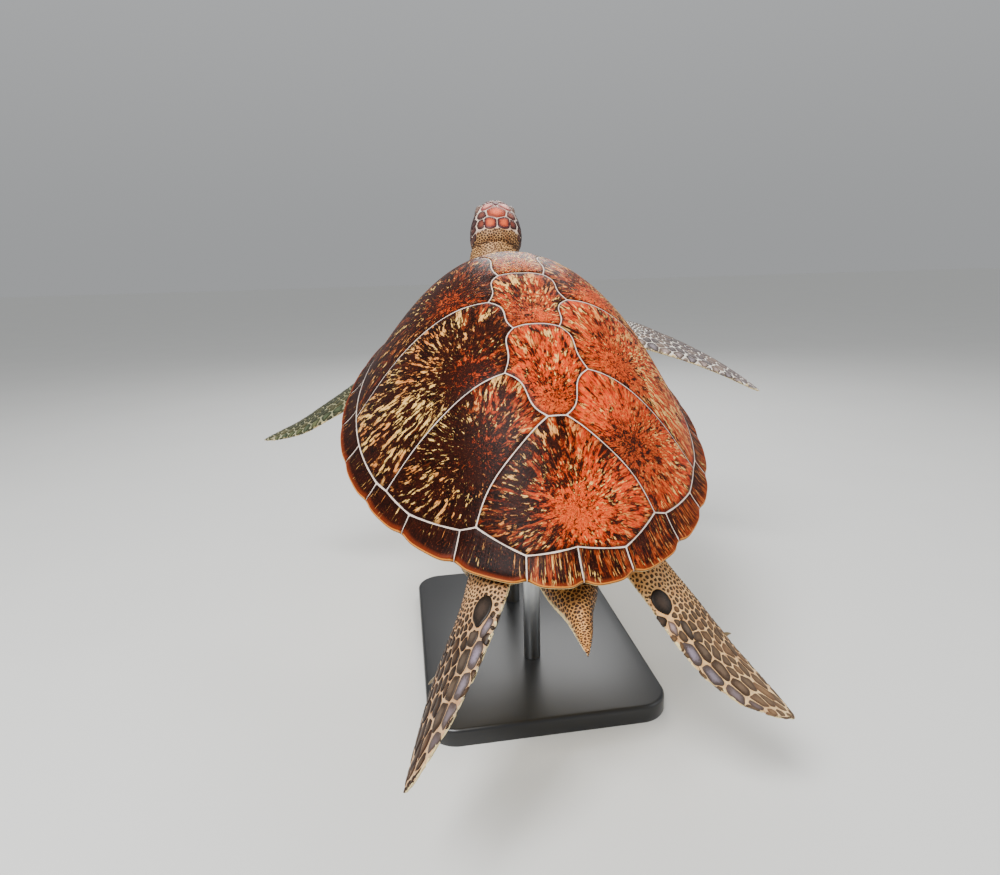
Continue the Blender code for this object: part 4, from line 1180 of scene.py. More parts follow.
def pads(seed, most, sides, chosen):
    """Solid scales for the chosen seeds: points, quads, triangles, values and map."""
    theta, reach = cell_radii(seed, most, sides, chosen)
    place, along, across, stretch, size, gap, height, uv = (seed[key][chosen] for key in (
        "place", "along", "across", "stretch", "size", "gap", "height", "uv"))
    reach = np.maximum(reach - gap[:, None] / 2, 0.22 * size[:, None])
    soft = 0.7 * reach + 0.15 * (np.roll(reach, 1, 1) + np.roll(reach, -1, 1))
    reach = np.minimum(soft, reach * 1.05)
    toward = np.stack([np.cos(theta), np.sin(theta)], 1)
    spread = (toward[:, :1] * (along * stretch[:, None])[:, None]
              + toward[:, 1:] * across[:, None])
    points, radial, spot = [], [], []
    for share, lift in PROFILE:
        # The last row is the middle point alone
        row = sides if share else 1
        flat = place[:, None] + (spread * (reach * share)[..., None])[:, :row]
        rise = np.repeat(height * lift if lift else np.full(len(place), SUNK), row)
        landed = np.empty((len(rise), 3))
        for k, (point, up) in enumerate(zip(flat.reshape(-1, 3).tolist(), rise.tolist())):
            hit, normal, _, _ = surface.find_nearest(point)
            landed[k] = hit + normal * up
        points.append(landed.reshape(-1, row, 3))
        radial.append(np.full((len(place), row), share))
        spot.append(uv[:, None] + toward[:row] * share * PATCH)
    per = 3 * sides + 1
    caps = [[2 * sides + i, 2 * sides + (i + 1) % sides, 3 * sides] for i in range(sides)]
    base = (np.arange(len(place)) * per)[:, None, None]
    quads, tris = ((np.array(faces)[None] + base).reshape(-1, len(faces[0]))
                   for faces in (ring_faces(3, sides), caps))
    values = {key: np.repeat(seed[key][chosen], per, 0) for key in ("tint", "core")}
    values.update(radial=np.concatenate(radial, 1).ravel(),
                  chance=np.repeat(rng.random(len(place)), per))
    return (np.concatenate(points, 1).reshape(-1, 3), quads, tris, values,
            np.concatenate(spot, 1).reshape(-1, 2))


def fast_mesh(name, points, quads, tris, values, uv):
    """A mesh from whole arrays, with a UV map that places each scale on the skin."""
    loops = np.concatenate([quads.ravel(), tris.ravel()]).astype(np.int32)
    starts = np.concatenate([np.arange(len(quads)) * 4,
                             len(quads) * 4 + np.arange(len(tris)) * 3])
    mesh = bpy.data.meshes.new(name)
    mesh.vertices.add(len(points))
    mesh.vertices.foreach_set("co", points.astype(np.float32).ravel())
    mesh.loops.add(len(loops))
    mesh.loops.foreach_set("vertex_index", loops)
    mesh.polygons.add(len(starts))
    mesh.polygons.foreach_set("loop_start", starts.astype(np.int32))
    mesh.update(calc_edges=True)
    mesh.validate()
    store(mesh, values)
    layer = mesh.uv_layers.new(name="OFBake")
    layer.data.foreach_set("uv", uv[loops].astype(np.float32).ravel())
    mesh.shade_smooth()
    return mesh


print("a scale has", len(PROFILE), "rows of points")


# %% Scale material
def scale_material():
    """Thin horn with a satin sheen and specks of 2 mm, paler in its middle on the large
    ones. Chance makes some scales lighter than others, so that the coat looks alive."""
    mat, tree, place = new_material("horny scales")
    tint, core = (add(tree, "Attribute", out=1, attribute_name=key) for key in ("tint", "core"))
    radial, chance = (add(tree, "Attribute", attribute_name=key) for key in ("radial", "chance"))
    speck = add(tree, "TexNoise", {"Vector": place, "Scale": 420.0, "Detail": 3.0})
    tone = coated(tree, core, (summed(tree, radial, (speck, 0.6)), 0.55, 1.05, tint))
    lighter = add(tree, "Mix", {0: 1.0, 6: tone, 7: "#F4E4D0"}, blend_type="SOFT_LIGHT")
    return shaded(mat, coated(tree, tone, (chance, 0.4, 1.0, lighter)), 0.45,
                  (0.35, 0.0004, speck), Specular_IOR_Level=0.22)


scales = scale_material()
print("made", scales.name)


# %% Sizes of the scales
def hind_size(share, turn):
    """Scale width on a hind flipper: small by the body, larger out on the blade."""
    trail = smooth_step(0.1, 0.9, -np.cos(turn))
    lead = smooth_step(0.55, 0.95, np.cos(turn))
    out = smooth_step(0.28, 0.50, share)
    size = 0.0060 + out * 0.0046 + out * trail * 0.003
    return size * (1 - 0.36 * lead) * (1 - 0.30 * smooth_step(0.75, 1, share))


def fore_size(share, turn):
    out = smooth_step(0.22, 0.42, share)
    trail = smooth_step(0.2, 0.95, -np.cos(turn))
    return (0.0056 + out * 0.0060 + out * trail * 0.003) * (
        1 - 0.35 * smooth_step(0.75, 1, share))


SIZE_OF = {
    "fore_right": fore_size, "fore_left": fore_size, "hind_right": hind_size,
    "hind_left": hind_size,
    "neck": lambda s, t: 0.0062 - 0.0012 * s + 0.002 * smooth_step(0.2, -0.6, np.sin(t)),
    "tail": lambda s, t: 0.0084 - 0.0032 * s,
    "head": lambda s, t: (0.0085 - 0.0032 * smooth_step(-0.3, -0.8, np.sin(t))) * (
        1 - 0.38 * smooth_step(0.19, 0.16, s)),
    "trunk": lambda s, t: 0.0080 + 0 * s,
    **{name: lambda s, t: 0.0066 + 0 * s for name in MUSCLES}}
# How much longer than wide the scales are: at shares of the limb
STRETCH = {"hind": ((0.0, 0.30, 0.45, 0.65, 0.85, 1.0), (1.0, 1.05, 1.5, 2.1, 3.0, 3.2)),
           "fore": ((0.0, 0.25, 0.45, 0.70, 0.90, 1.0), (1.0, 1.05, 1.35, 1.7, 2.4, 2.6)),
           "tail": ((0.0, 0.6, 0.8, 1.0), (0.8, 0.75, 0.45, 0.45)),
           "neck": ((0.0, 1.0), (0.8, 0.8))}
# How far a scale may reach from its seed, in shares of its width, where it meets no other
FURTHEST, FURTHEST_ELSEWHERE = {"hind": 0.88, "fore": 0.80, "head": 0.78}, 0.66


def gap_of(name, share):
    if name.startswith("hind"):
        return 0.0026 - 0.0013 * smooth_step(0.22, 0.46, share)
    if name.startswith("fore"):
        return 0.0015 + 0 * share
    return {"neck": 0.0013, "tail": 0.0016, "head": 0.0011,
            "trunk": 0.002}.get(name, 0.0014) + 0 * share


print("neck scales", SIZE_OF["neck"](0, 1.5) * 1000, "to", SIZE_OF["neck"](1, 1.5) * 1000, "mm")


# %% Plates listed one by one
def in_frame(name, point, matrix):
    """Share and turn on a loft of the point nearest to one given in a frame."""
    world = moved([point], matrix)[0]
    grid = GRIDS[name]
    away = np.linalg.norm(grid - world, axis=2)
    r, c = np.unravel_index(away.argmin(), away.shape)
    return r / (grid.shape[0] - 1), math.degrees(2 * math.pi * c / grid.shape[1])


# The big ovals of the hind flippers, in the turtle's frame: place, width, length over width
OVALS = {"hind_right": (((0.106, -0.430, -0.022), 0.019, 1.1),
                        ((0.118, -0.404, -0.013), 0.030, 1.25)),
         "hind_left": (((-0.112, -0.436, 0.027), 0.018, 1.2),
                       ((-0.127, -0.418, 0.024), 0.030, 1.45))}
# Along the blade: share, width, core colour, length over width
TRAILING = ((0.395, 0.015, "#7E7078", 2.0), (0.50, 0.018, "#857884", 2.2),
            (0.605, 0.018, "#7C7078", 2.2), (0.705, 0.016, "#6A5E62", 2.4),
            (0.80, 0.013, "#5A4E50", 2.8))
# The left flipper's plates are darker than the right one's: painted shade on the left, painted
# light on the right
FORE_TONES = {"right": ("#4E4644", "#8A8084"), "left": ("#2C321F", "#4E563C")}
# Each plate of a region: share, turn, width, colour, core colour and length over width
PLATES = {}
for side in ("right", "left"):
    hind = f"hind_{side}"
    PLATES[hind] = [(*in_frame(hind, point, POSE), width, "#1C140E", "#3C3028", long)
                    for point, width, long in OVALS[hind]]
    PLATES[hind] += [(s, 146, w, "#4A3E3A", core, long) for s, w, core, long in TRAILING]
    PLATES[hind] += [(s, 118, 0.014, "#33271E", "#54463A", 2.1)
                     for s in (0.43, 0.525, 0.62, 0.715)]
    PLATES[f"fore_{side}"] = [(s, 148, 0.021 - 0.012 * max(s - 0.45, 0), *FORE_TONES[side], 1.3)
                              for s in np.arange(0.27, 0.93, 0.066)]
    PLATES[f"fore_{side}"] += [(s, 22, 0.011, "#4A4642", "#6A6260", 1.2)
                               for s in np.arange(0.26, 0.93, 0.034)]
# The head's plates on its right side and middle, in its own frame: x, y, z, size, colours
ROSE, BROWN, DUSK, JAW = (("#4A2C2C", "#7A4A42"), ("#2E1C1C", "#4E302C"),
                          ("#33211F", "#54362E"), ("#3A2622", "#5E4034"))
HEAD_PLATES = [
    (0.0, -0.010, 0.06, 0.044, ("#8A3A28", "#F06C46")),
    (0.0, 0.029, 0.06, 0.019, ("#43232A", "#5E3A40")),
    (0.0165, -0.0480, 0.06, 0.036, ("#3A1C20", "#D0552E")),
    (0.042, -0.0490, 0.06, 0.025, ("#2E1A1A", "#6A342A")),
    (0.0390, -0.015, 0.06, 0.022, ("#3E2222", "#7A4236")),
    (0.0265, 0.0210, 0.06, 0.030, ("#6A3438", "#D88478")),
    (0.0098, 0.0480, 0.06, 0.0195, ("#5A3A30", "#9A6A54")),
    (0.0070, 0.0660, 0.06, 0.012, ("#4E342A", "#86604A")),
    (0.0200, 0.0420, 0.06, 0.013, ROSE), (0.0200, 0.0560, 0.04, 0.012, ROSE),
    # Side of the head: temples, behind and below the eye, cheek, then the jaw
    (0.06, -0.030, 0.030, 0.019, BROWN), (0.06, -0.052, 0.026, 0.019, BROWN),
    (0.06, -0.070, 0.022, 0.016, DUSK), (0.06, 0.0080, 0.0290, 0.014, DUSK),
    (0.06, 0.0060, 0.0140, 0.015, BROWN), (0.06, 0.0085, -0.0010, 0.014, BROWN),
    (0.06, 0.0190, -0.0105, 0.013, DUSK), (0.06, -0.010, 0.021, 0.016, BROWN),
    (0.06, -0.011, 0.005, 0.017, DUSK), (0.06, -0.028, 0.011, 0.018, DUSK),
    (0.06, -0.047, 0.007, 0.018, DUSK), (0.06, -0.004, -0.011, 0.015, JAW),
    (0.06, -0.020, -0.008, 0.016, JAW), (0.06, -0.038, -0.011, 0.016, JAW),
    (0.06, -0.057, -0.011, 0.015, ("#43302A", "#6A5040")), (0.06, -0.066, 0.006, 0.015, DUSK),
    (0.06, -0.006, -0.030, 0.020, ("#7A6248", "#A88E62")),
    (0.06, -0.026, -0.027, 0.017, ("#5E4838", "#8A6E4E")),
    (0.06, -0.045, -0.028, 0.015, ("#6A5240", "#96784F"))]
PLATES["head"] = [(*in_frame("head", (x * sign, y, z), HEAD), 1.12 * size, *tones, 1.0)
                  for x, y, z, size, tones in HEAD_PLATES for sign in ((1, -1) if x else (1,))]
# The large plates along each flank, between the two shells
PLATES["trunk"] = [(*in_frame("trunk", (x, y, -0.028), POSE), 0.056, "#E2CB92", "#EBD9A6", 0.8)
                   for y in (-0.105, -0.030, 0.045, 0.120) for x in (0.30, -0.30)]
print("plates set by hand", {k: len(v) for k, v in PLATES.items()})

# %% Where no scales grow
EYE_CLEAR, PLATES_CLEAR, BEAK_CLEAR = 0.0185, 0.0265, 0.007
PLATED_FROM, PLATED_TO, PLATED_LOW = -0.0665, 0.045, -0.034     # large plates of the head
# How far a small scale's place may lie from the skin that is left
NEAR_SKIN = {"trunk": 0.012, **{name: 0.0025 for name in MUSCLES}}
BEAK_SIDE = np.array([(0.100, 0.006), (0.062, 0.000), (0.030, -0.011), (0.006, -0.0262),
                      (0.010, -0.036), (0.040, -0.041), (0.100, -0.043)])
to_head, to_body = HEAD.inverted(), POSE.inverted()


def covered(name, share, place, away):
    """Under the shell, the belly plates, eyes and beak, and where other skin lies above."""
    head, body = moved(place, to_head), moved(place, to_body)
    x, y, z = body.T
    eye_gap = np.min([np.linalg.norm(head - EYE_AT * (side, 1, 1), axis=1)
                      for side, _ in SIDES], 0)
    hidden = (away > NEAR_SKIN.get(name, 0.004)) | (eye_gap < EYE_CLEAR)
    hidden |= is_inside(head[:, 1:], BEAK_SIDE)
    if name != "neck":
        hidden |= (z > dome(x, y) - PLATE) & (plan_radius(x, y) < 0.97)
    if name == "trunk":
        outline = np.array(BELLY_OUTLINE + [(-x, y) for x, y in BELLY_OUTLINE[-2:0:-1]])
        hidden |= (share < 0.2) | is_inside(body[:, :2], outline) & (z < 0)
        hidden |= z > dome(x, y) - 0.004
    if name == "head":
        # No small scale grows where the head's large plates meet
        beak_gap = distance_to(head[:, 1:], BEAK_SIDE, np.roll(BEAK_SIDE, -1, 0))
        hidden |= ((head[:, 2] > PLATED_LOW) & (head[:, 1] > PLATED_FROM)
                   & (head[:, 1] < PLATED_TO) & (eye_gap > PLATES_CLEAR)
                   & (beak_gap > BEAK_CLEAR))
    return hidden


print("bare round an eye", EYE_CLEAR * 1000, "mm")


# %% Place the scales
MAP_COLUMNS, MAP_ROWS = 4, 3          # the map OFBake has one rectangle for each region
MAP_MARGIN = 0.04                     # in shares of its rectangle
THICK, THINNEST, THICKEST = 0.10, 0.0005, 0.0014    # share of a scale's width, limits


def seeds_on(name, hand):
    """Where scales could grow on a loft, the listed plates first, each with its frame."""
    share, turn = candidates(GRIDS[name], SIZE_OF[name])
    share = np.concatenate([[p[0] for p in hand], share])
    turn = np.concatenate([[math.radians(p[1]) for p in hand], turn])
    size = SIZE_OF[name](share, turn) * rng.uniform(0.82, 1.18, len(share))
    size[:len(hand)] = [p[2] for p in hand]
    place, along = local_frames(GRIDS[name], share, turn)
    near = [surface.find_nearest(p) for p in place.tolist()]
    place, normal = (np.array([tuple(found[k]) for found in near]) for k in (0, 1))
    hidden = covered(name, share, place, np.array([found[3] for found in near]))
    hidden[:len(hand)] = False
    along = unit(along - normal * (along * normal).sum(1, keepdims=True))
    seed = {"share": share, "turn": turn, "size": size, "place": place, "normal": normal,
            "along": along, "across": unit(np.cross(normal, along))}
    return {key: value[~hidden] for key, value in seed.items()}


def scale_region(name, number):
    """All scales of one loft as one piece."""
    hand, kind = PLATES.get(name, []), name.split("_")[0]
    seed = seeds_on(name, hand)
    stretch, packed = np.ones(len(seed["place"])), seed["place"]
    if kind in STRETCH:
        stretch = np.interp(seed["share"], *STRETCH[kind])
        if kind != "neck":
            packed = straightened(GRIDS[name], seed["share"], packed, STRETCH[kind])
            packed = packed + seed["normal"] * SIDE_APART
    stretch[:len(hand)] = [p[5] for p in hand]
    kept = spaced(packed, seed["size"], len(hand))
    seed = {key: value[kept] for key, value in {**seed, "stretch": stretch}.items()}
    share, turn, size = (seed[key] for key in ("share", "turn", "size"))
    tint = scale_colour(name, share, turn)
    core = between(tint, skin_colour(name, share, turn), 0.06)
    for i, p in enumerate(hand):
        tint[i], core[i] = rgb(p[3]), rgb(p[4])
    (row, column), inside = divmod(number, MAP_COLUMNS), 1 - 2 * MAP_MARGIN
    seed.update(tint=tint, core=core, gap=gap_of(name, share),
                height=np.clip(THICK * size, THINNEST, THICKEST), uv=np.stack([
                    (column + MAP_MARGIN + inside * share) / MAP_COLUMNS,
                    (row + MAP_MARGIN + inside * (turn / (2 * math.pi) % 1)) / MAP_ROWS], 1))
    most = FURTHEST.get(kind, FURTHEST_ELSEWHERE)
    made = [pads(seed, most, sides, np.flatnonzero(pick))
            for sides, pick in ((SIDES_SMALL, size < LARGE), (SIDES_LARGE, size >= LARGE))
            if pick.any()]
    points, quads, tris, values, uv = zip(*made)
    starts = np.cumsum([0] + [len(p) for p in points])
    mesh = fast_mesh(f"scales_{name}", np.vstack(points),
                     np.vstack([q + start for q, start in zip(quads, starts)]),
                     np.vstack([t + start for t, start in zip(tris, starts)]),
                     {key: np.concatenate([v[key] for v in values]) for key in values[0]},
                     np.vstack(uv))
    mesh.materials.append(scales)
    print(name, "scales", len(size), "triangles", sum(len(q) * 2 + len(t) for q, t
                                                      in zip(quads, tris)))
    return finished(new_object(f"scales_{name}", mesh))


coat = [scale_region(name, number) for number, name in enumerate(GRIDS)]
print("pieces of scales", len(coat))

# %% [markdown]
# ## Eyes and lids
# The eye is a dark, wet ball, almost all iris and pupil, that looks out and a little ahead
# and up. A plain sphere would do for its form, but here its rows circle the line of sight,
# so that each point can store its angle for the pupil and the fibres. A swollen ring of
# lid skin closes round it in an almond.

# %% Eyes
EYE_LOOK = unit(np.array([0.88, 0.38, 0.20]))


def eye_axes(side):
    """Head-frame axes of an eye: out of the head, ahead and up."""
    out = EYE_LOOK * (side, 1, 1)
    up = unit(np.array([0, 0, 1.0]) - out * out[2])
    return out, np.cross(up, out) * side, up


def around_eye(side, away, turn):
    """Directions at an angle from the line of sight, turned round it."""
    out, ahead, up = eye_axes(side)
    return (out * np.cos(away)[..., None] + ahead * (np.sin(away) * np.cos(turn))[..., None]
            + up * (np.sin(away) * np.sin(turn))[..., None])


def eye_material():
    """A wet cornea over a brown iris: the clear coat gives one small, sharp highlight."""
    mat, tree, place = new_material("wet eye")
    off, turn = (add(tree, "Attribute", attribute_name=key) for key in ("off_axis", "around"))
    spoke = add(tree, "CombineXYZ", {0: turn, 1: off, 2: 0.0})
    fibres = add(tree, "TexNoise", {"Vector": spoke, "Scale": 9.0, "Detail": 3.0})
    grains = add(tree, "TexNoise", {"Vector": place, "Scale": 900.0})
    iris = add(tree, "Mix", {0: fibres, 6: "#1C0F08", 7: "#5A3A1E"})
    dark = add(tree, "Mix", {0: grains, 6: "#0A0605", 7: "#1A100C"})
    # The iris ends 30 degrees from the line of sight, and the pupil 18
    iris = coated(tree, iris, (off, 30.0, 34.0, dark))
    return shaded(mat, coated(tree, "#020202", (off, 18.0, 20.0, iris)), 0.06,
                  Coat_Weight=1.0, Coat_Roughness=0.02)


wet_eye = eye_material()
rows, count = 36, 48
for side, name in SIDES:
    out, ahead, up = eye_axes(side)
    angle = np.linspace(0, math.pi, rows + 1)[1:-1, None]
    ball = around_eye(side, angle, once_round(count)).reshape(-1, 3)
    ball = np.vstack([ball, [out], [-out]])
    last = (rows - 2) * count
    faces = ring_faces(rows - 1, count)
    faces += [[(i + 1) % count, i, len(ball) - 2] for i in range(count)]
    faces += [[last + i, last + (i + 1) % count, len(ball) - 1] for i in range(count)]
    off = np.degrees(np.arccos(np.clip(ball @ out, -1, 1)))
    around = np.arctan2(ball @ up, ball @ ahead)
    eye = new_piece(f"eye_{name}_ball",
                    moved(EYE_AT * (side, 1, 1) + ball * EYE_RADIUS, HEAD),
                    [f[::side] for f in faces], wet_eye, "eye",
                    {"off_axis": off, "around": around})
    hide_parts(f"eye_{name}")
print("eyes", EYE_RADIUS * 2000, "mm across")

# %% Lids
LID_HALF_WIDE, LID_HALF_HIGH, LID_END = math.radians(51), math.radians(33), math.radians(88)
# Share of the way from the opening outwards, and the lid's radius there in mm
LID_ROWS = ((0.0, 14.75), (0.0, 15.9), (0.06, 17.0), (0.18, 17.7), (0.32, 17.3), (0.42, 17.8),
            (0.56, 17.4), (0.68, 17.8), (0.80, 17.3), (0.90, 16.8), (1.0, 15.4))


def lid_ring(side, count=72):
    """A ring of skin over the eyeball, from the almond opening out to the head's skin."""
    turn = once_round(count)[0]
    c, s = np.cos(turn), np.sin(turn)
    almond = 1 / np.sqrt((c / LID_HALF_WIDE) ** 2 + (s / LID_HALF_HIGH) ** 2)
    almond = almond * (1 + 0.10 * np.abs(c) ** 6)
    rows = [EYE_AT * (side, 1, 1) + radius / 1000
            * around_eye(side, almond + (LID_END - almond) * share, turn)
            for share, radius in LID_ROWS]
    faces = [f[::side] for f in ring_faces(len(rows), count)]
    return moved(np.vstack(rows), HEAD), faces, np.repeat(np.linspace(0, 1, len(rows)), count)


def lid_material():
    """Bead-like skin: dark cells of 3 mm, paler folds, and painted shade, near black, at the
    opening.
    """
    mat, tree, place = new_material("wrinkled eyelid")
    depth = add(tree, "Attribute", attribute_name="depth")
    cells = add(tree, "TexVoronoi", {"Vector": place, "Scale": 300.0, "Randomness": 0.75},
                feature="DISTANCE_TO_EDGE")
    bead = add(tree, "MapRange", {0: cells, 1: 0.05, 2: 0.16})
    tone = add(tree, "Mix", {0: bead, 6: "#9C7E6E", 7: "#38211E"})
    # Near black at the opening: painted shade where the lid meets the eye
    return shaded(mat, coated(tree, "#120B0A", (depth, 0.02, 0.14, tone)), 0.5,
                  (0.7, 0.0008, bead))


lid_skin = lid_material()
for side, name in SIDES:
    points, faces, depth = lid_ring(side)
    new_piece(f"eyelid_{name}", points, faces, lid_skin, "scaly_skin", {"depth": depth})
print("lids made")

# %% [markdown]
# ## Beak
# A turtle has no teeth but a horn beak over each jaw, smooth above and finely ridged at the
# lower edge. It could be modelled as a shell over the jaw by hand. Here both horns are cut
# from a slightly larger head by the side outline of the horn, so that they fit it exactly.

# %% Beak
# Seen from the side in the head's frame: the mouth line, then each horn's outline
MOUTH = np.array([(0.0045, -0.0265), (0.012, -0.0269), (0.035, -0.0262), (0.055, -0.0268),
                  (0.070, -0.0296), (0.095, -0.0306)])
UPPER_HORN = [(0.095, 0.010), (0.070, 0.0075), (0.056, 0.0010), (0.036, -0.0085),
              (0.018, -0.0165), (0.0045, -0.0235), (0.012, -0.0260), (0.035, -0.0253),
              (0.055, -0.0259), (0.070, -0.0287), (0.095, -0.0297)]
LOWER_HORN = [(0.095, -0.0313), (0.070, -0.0303), (0.055, -0.0275), (0.035, -0.0269),
              (0.012, -0.0277), (0.0045, -0.0293), (0.010, -0.0365), (0.030, -0.0410),
              (0.060, -0.0425), (0.095, -0.0425)]
HORN_SWELL = 0.0007         # the upper horn stands this far out of the head


def smooth_outline(points, steps=6):
    """A closed side outline drawn as a smooth curve, point by point."""
    closed = np.array(points[-2:] + points + points[:3], float)
    return np.array([spline(*closed[i - 1:i + 3], u) for i in range(2, 2 + len(points))
                     for u in np.arange(steps) / steps])


def beak_shape(name, side, swell):
    """The part of the head's surface within a side outline, as a solid of horn. Its tip
    is drawn back a little, to stay inside the beak's solid."""
    rows, count = 150, 168
    head = head_grid(-swell, rows, count).reshape(-1, 3)
    head[:, 1] = 0.994 * np.minimum(head[:, 1], 0.0779)
    made = new_object(name, loose_mesh(name, head, tube_faces(rows, count)))
    block = np.vstack([np.column_stack([np.full(len(side), x), side]) for x in (-0.09, 0.09)])
    n = len(side)
    walls = [[i, (i + 1) % n, (i + 1) % n + n, i + n] for i in range(n)]
    walls += [list(range(n))[::-1], list(range(n, 2 * n))]
    tool = new_object("side_outline", loose_mesh("side_outline", block, walls))
    for obj in (made, tool):
        face_out(obj.data)
    apply_modifier(made, "BOOLEAN", operation="INTERSECT", object=tool, solver="EXACT")
    bpy.data.objects.remove(tool)
    return made


def beak_material():
    """Worn horn, brown with fine ridges of 2 mm down to a pale lip, and a soft gloss."""
    mat, tree, place = new_material("beak horn")
    lip = add(tree, "Attribute", attribute_name="lip")
    stretch = add(tree, "VectorMath", {0: place, 1: (520.0, 90.0, 60.0)}, operation="MULTIPLY")
    fine = add(tree, "TexNoise", {"Vector": stretch, "Scale": 1.0, "Detail": 3.0})
    broad = add(tree, "TexNoise", {"Vector": place, "Scale": 70.0, "Detail": 4.0})
    tone = add(tree, "Mix", {0: fine, 6: "#5C4424", 7: "#8C6E3A"})
    tone = coated(tree, tone, (broad, 0.45, 0.75, "#3C2A16"),
                  (summed(tree, lip, (broad, 0.006)), 0.0085, 0.0035, "#C9AE6E"))
    return shaded(mat, tone, 0.36, (0.25, 0.0005, fine))


beak_horn = beak_material()
beaks = {}
for name, outline, swell in (("beak_upper", UPPER_HORN, HORN_SWELL), ("beak_lower", LOWER_HORN, 0)):
    beak = beak_shape(name + "_horn", smooth_outline(outline), swell)
    lip = distance_to(vertex_array(beak.data)[:, 1:], MOUTH[:-1], MOUTH[1:])
    store(beak.data, {"lip": lip})
    beak.data.transform(HEAD)
    beak.data.shade_smooth()
    beak.data.set_sharp_from_angle(angle=math.radians(35))
    beak.data.materials.append(beak_horn)
    beaks[name] = finished(beak)
    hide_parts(name)
print("beak points", {name: len(beak.data.vertices) for name, beak in beaks.items()})


# %% Nostrils
def grained(name, scale, detail, dark, light, rough):
    """A plain finish with a fine grain between two colours; the scale is per metre."""
    mat, tree, place = new_material(name)
    grain = add(tree, "TexNoise", {"Vector": place, "Scale": scale, "Detail": detail})
    return shaded(mat, add(tree, "Mix", {0: grain, 6: dark, 7: light}), rough)


# Painted shade: almost black, so that the flat ball reads as a hole
painted_shade_nostril = grained("nostril", 600.0, 2.0, "#0A0605", "#1A100C", 0.5)
beak_surface = surface_of(beaks["beak_upper"].data)
for side, name in SIDES:
    hit, normal, _, _ = beak_surface.find_nearest(HEAD @ Vector((0.0075 * side, 0.080, 0.0035)))
    bpy.ops.mesh.primitive_uv_sphere_add(segments=20, ring_count=12, radius=1)
    nostril = bpy.context.active_object
    turn = Vector((0, 0, 1)).rotation_difference(normal).to_matrix().to_4x4()
    nostril.data.transform(Matrix.Translation(hit + normal * 0.0004) @ turn
                           @ Matrix.Diagonal((0.0024, 0.0019, 0.0007, 1)))
    nostril.name = f"nostril_{name}"
    nostril.data.shade_smooth()
    nostril.data.materials.append(painted_shade_nostril)
    finished(nostril)
print("nostrils made")


# %% [markdown]
# ## Claws
# Each flipper carries one claw on its leading edge: a short curved horn. A cone that is
# bent would do, but rings along a curve give the bow and the blunt tip at once.

# %% Claws
CLAW_AT = {"fore_right": 0.52, "fore_left": 0.52, "hind_right": 0.62, "hind_left": 0.62}
CLAW_LENGTH, CLAW_RADIUS = 0.017, 0.0045


def claw_points(name, share, rows=14, count=20):
    path, blade, lead, roll = LIMBS[name]
    shares = np.array([share])
    centre, axis, normal = (v[0] for v in blade_frames(path, lead, roll, shares))
    along = unit(curve(path, shares + 0.01) - curve(path, shares - 0.01))[0]
    reach = float(np.interp(share, [row[0] for row in blade], [row[1] for row in blade]))
    root = centre + axis * (reach - 0.006)
    turn = once_round(count).T
    points = []
    for part in np.linspace(0, 1, rows):
        place = root + axis * (CLAW_LENGTH * part) + along * (0.5 * CLAW_LENGTH * part * part)
        size = CLAW_RADIUS * (1 - part) ** 0.6 + 0.0003
        points.append(place + size * (along * np.cos(turn) + 0.7 * normal * np.sin(turn)))
    return moved(np.vstack(points), POSE), tube_faces(rows, count)


# Smooth brown horn with a soft highlight and a grain of 3 mm
claw_horn = grained("claw horn", 300.0, 3.0, "#3A2A18", "#8C7448", 0.35)
for name, share in CLAW_AT.items():
    claw = new_piece(f"claw_{name}", *claw_points(name, share), claw_horn, "beak_horn")
    face_out(claw.data)
    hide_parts(name.replace("_", "_claw_"))
print("claws", len(CLAW_AT), "each", CLAW_LENGTH * 1000, "mm long")

# %% [markdown]
# ## Lower shell
# The plastron is a pale yellow plate, almost flat, of twelve large scutes in pairs with a
# seam down the middle. A flat slab with cut lines would look hard, so it is filled with
# triangles like the upper plates, follows the belly, and dips into its seams.

# %% Plastron
# Seams of the right half, from the middle outwards
BELLY_SEAMS = [
    [(0.0, 0.262), (0.045, 0.275), (0.105, 0.300)], [(0.0, 0.165), (0.08, 0.158), (0.180, 0.195)],
    [(0.0, 0.045), (0.09, 0.040), (0.255, 0.050)], [(0.0, -0.075), (0.10, -0.085), (0.250, -0.060)],
    [(0.0, -0.175), (0.06, -0.185), (0.128, -0.185)],
    [(0.0, -0.262), (0.04, -0.275), (0.097, -0.262)], [(0.0, 0.335), (0.0, 0.0), (0.0, -0.340)],
    [(0.175, 0.200), (0.190, 0.080), (0.188, -0.050), (0.170, -0.150)]]
BELLY_HORN = 0.011                      # thickness
BELLY_STEP, BELLY_RINGS = 0.0062, (0.0015, 0.004)
BELLY_DIP, BELLY_ROUND = 0.0013, 0.0045


def plastron_piece():
    half = curve(BELLY_OUTLINE, np.linspace(0, 1, 260))
    outline = np.vstack([half[::-1], half[1:-1] * (-1, 1)])
    if area_of(outline) < 0:
        outline = outline[::-1]
    runs = []
    for line in BELLY_SEAMS:
        line = curve(line, np.linspace(0, 1, 130))
        runs += [(line[:-1] * (side, 1), line[1:] * (side, 1)) for side in (1, -1)]
    start, end = (np.vstack(ends) for ends in zip(*runs))
    grown = [start + unit(end - start)[:, ::-1] * (1, -1) * d
             for d in (-0.0035, -0.0015, 0, 0.0015, 0.0035)]
    plan, triangles = plan_mesh(outline, BELLY_STEP, BELLY_RINGS, np.vstack(grown))
    x, y = plan.T
    seam_gap = distance_to(plan, start, end)
    edge = distance_to(plan, outline, np.roll(outline, -1, 0))
    dip = BELLY_DIP * (1 - smooth_step(0.0, 0.0040, seam_gap))
    low = belly(x, y) - BELLY_HORN + dip + BELLY_ROUND * (1 - rounded(edge, 0.005))
    points = np.vstack([np.column_stack([x, y, z]) for z in (belly(x, y) - 0.0005, low)])
    values = {"edge": np.tile(np.minimum(seam_gap, 1), 2)}
    return moved(points, POSE), slab_faces(triangles, len(plan), len(outline)), values


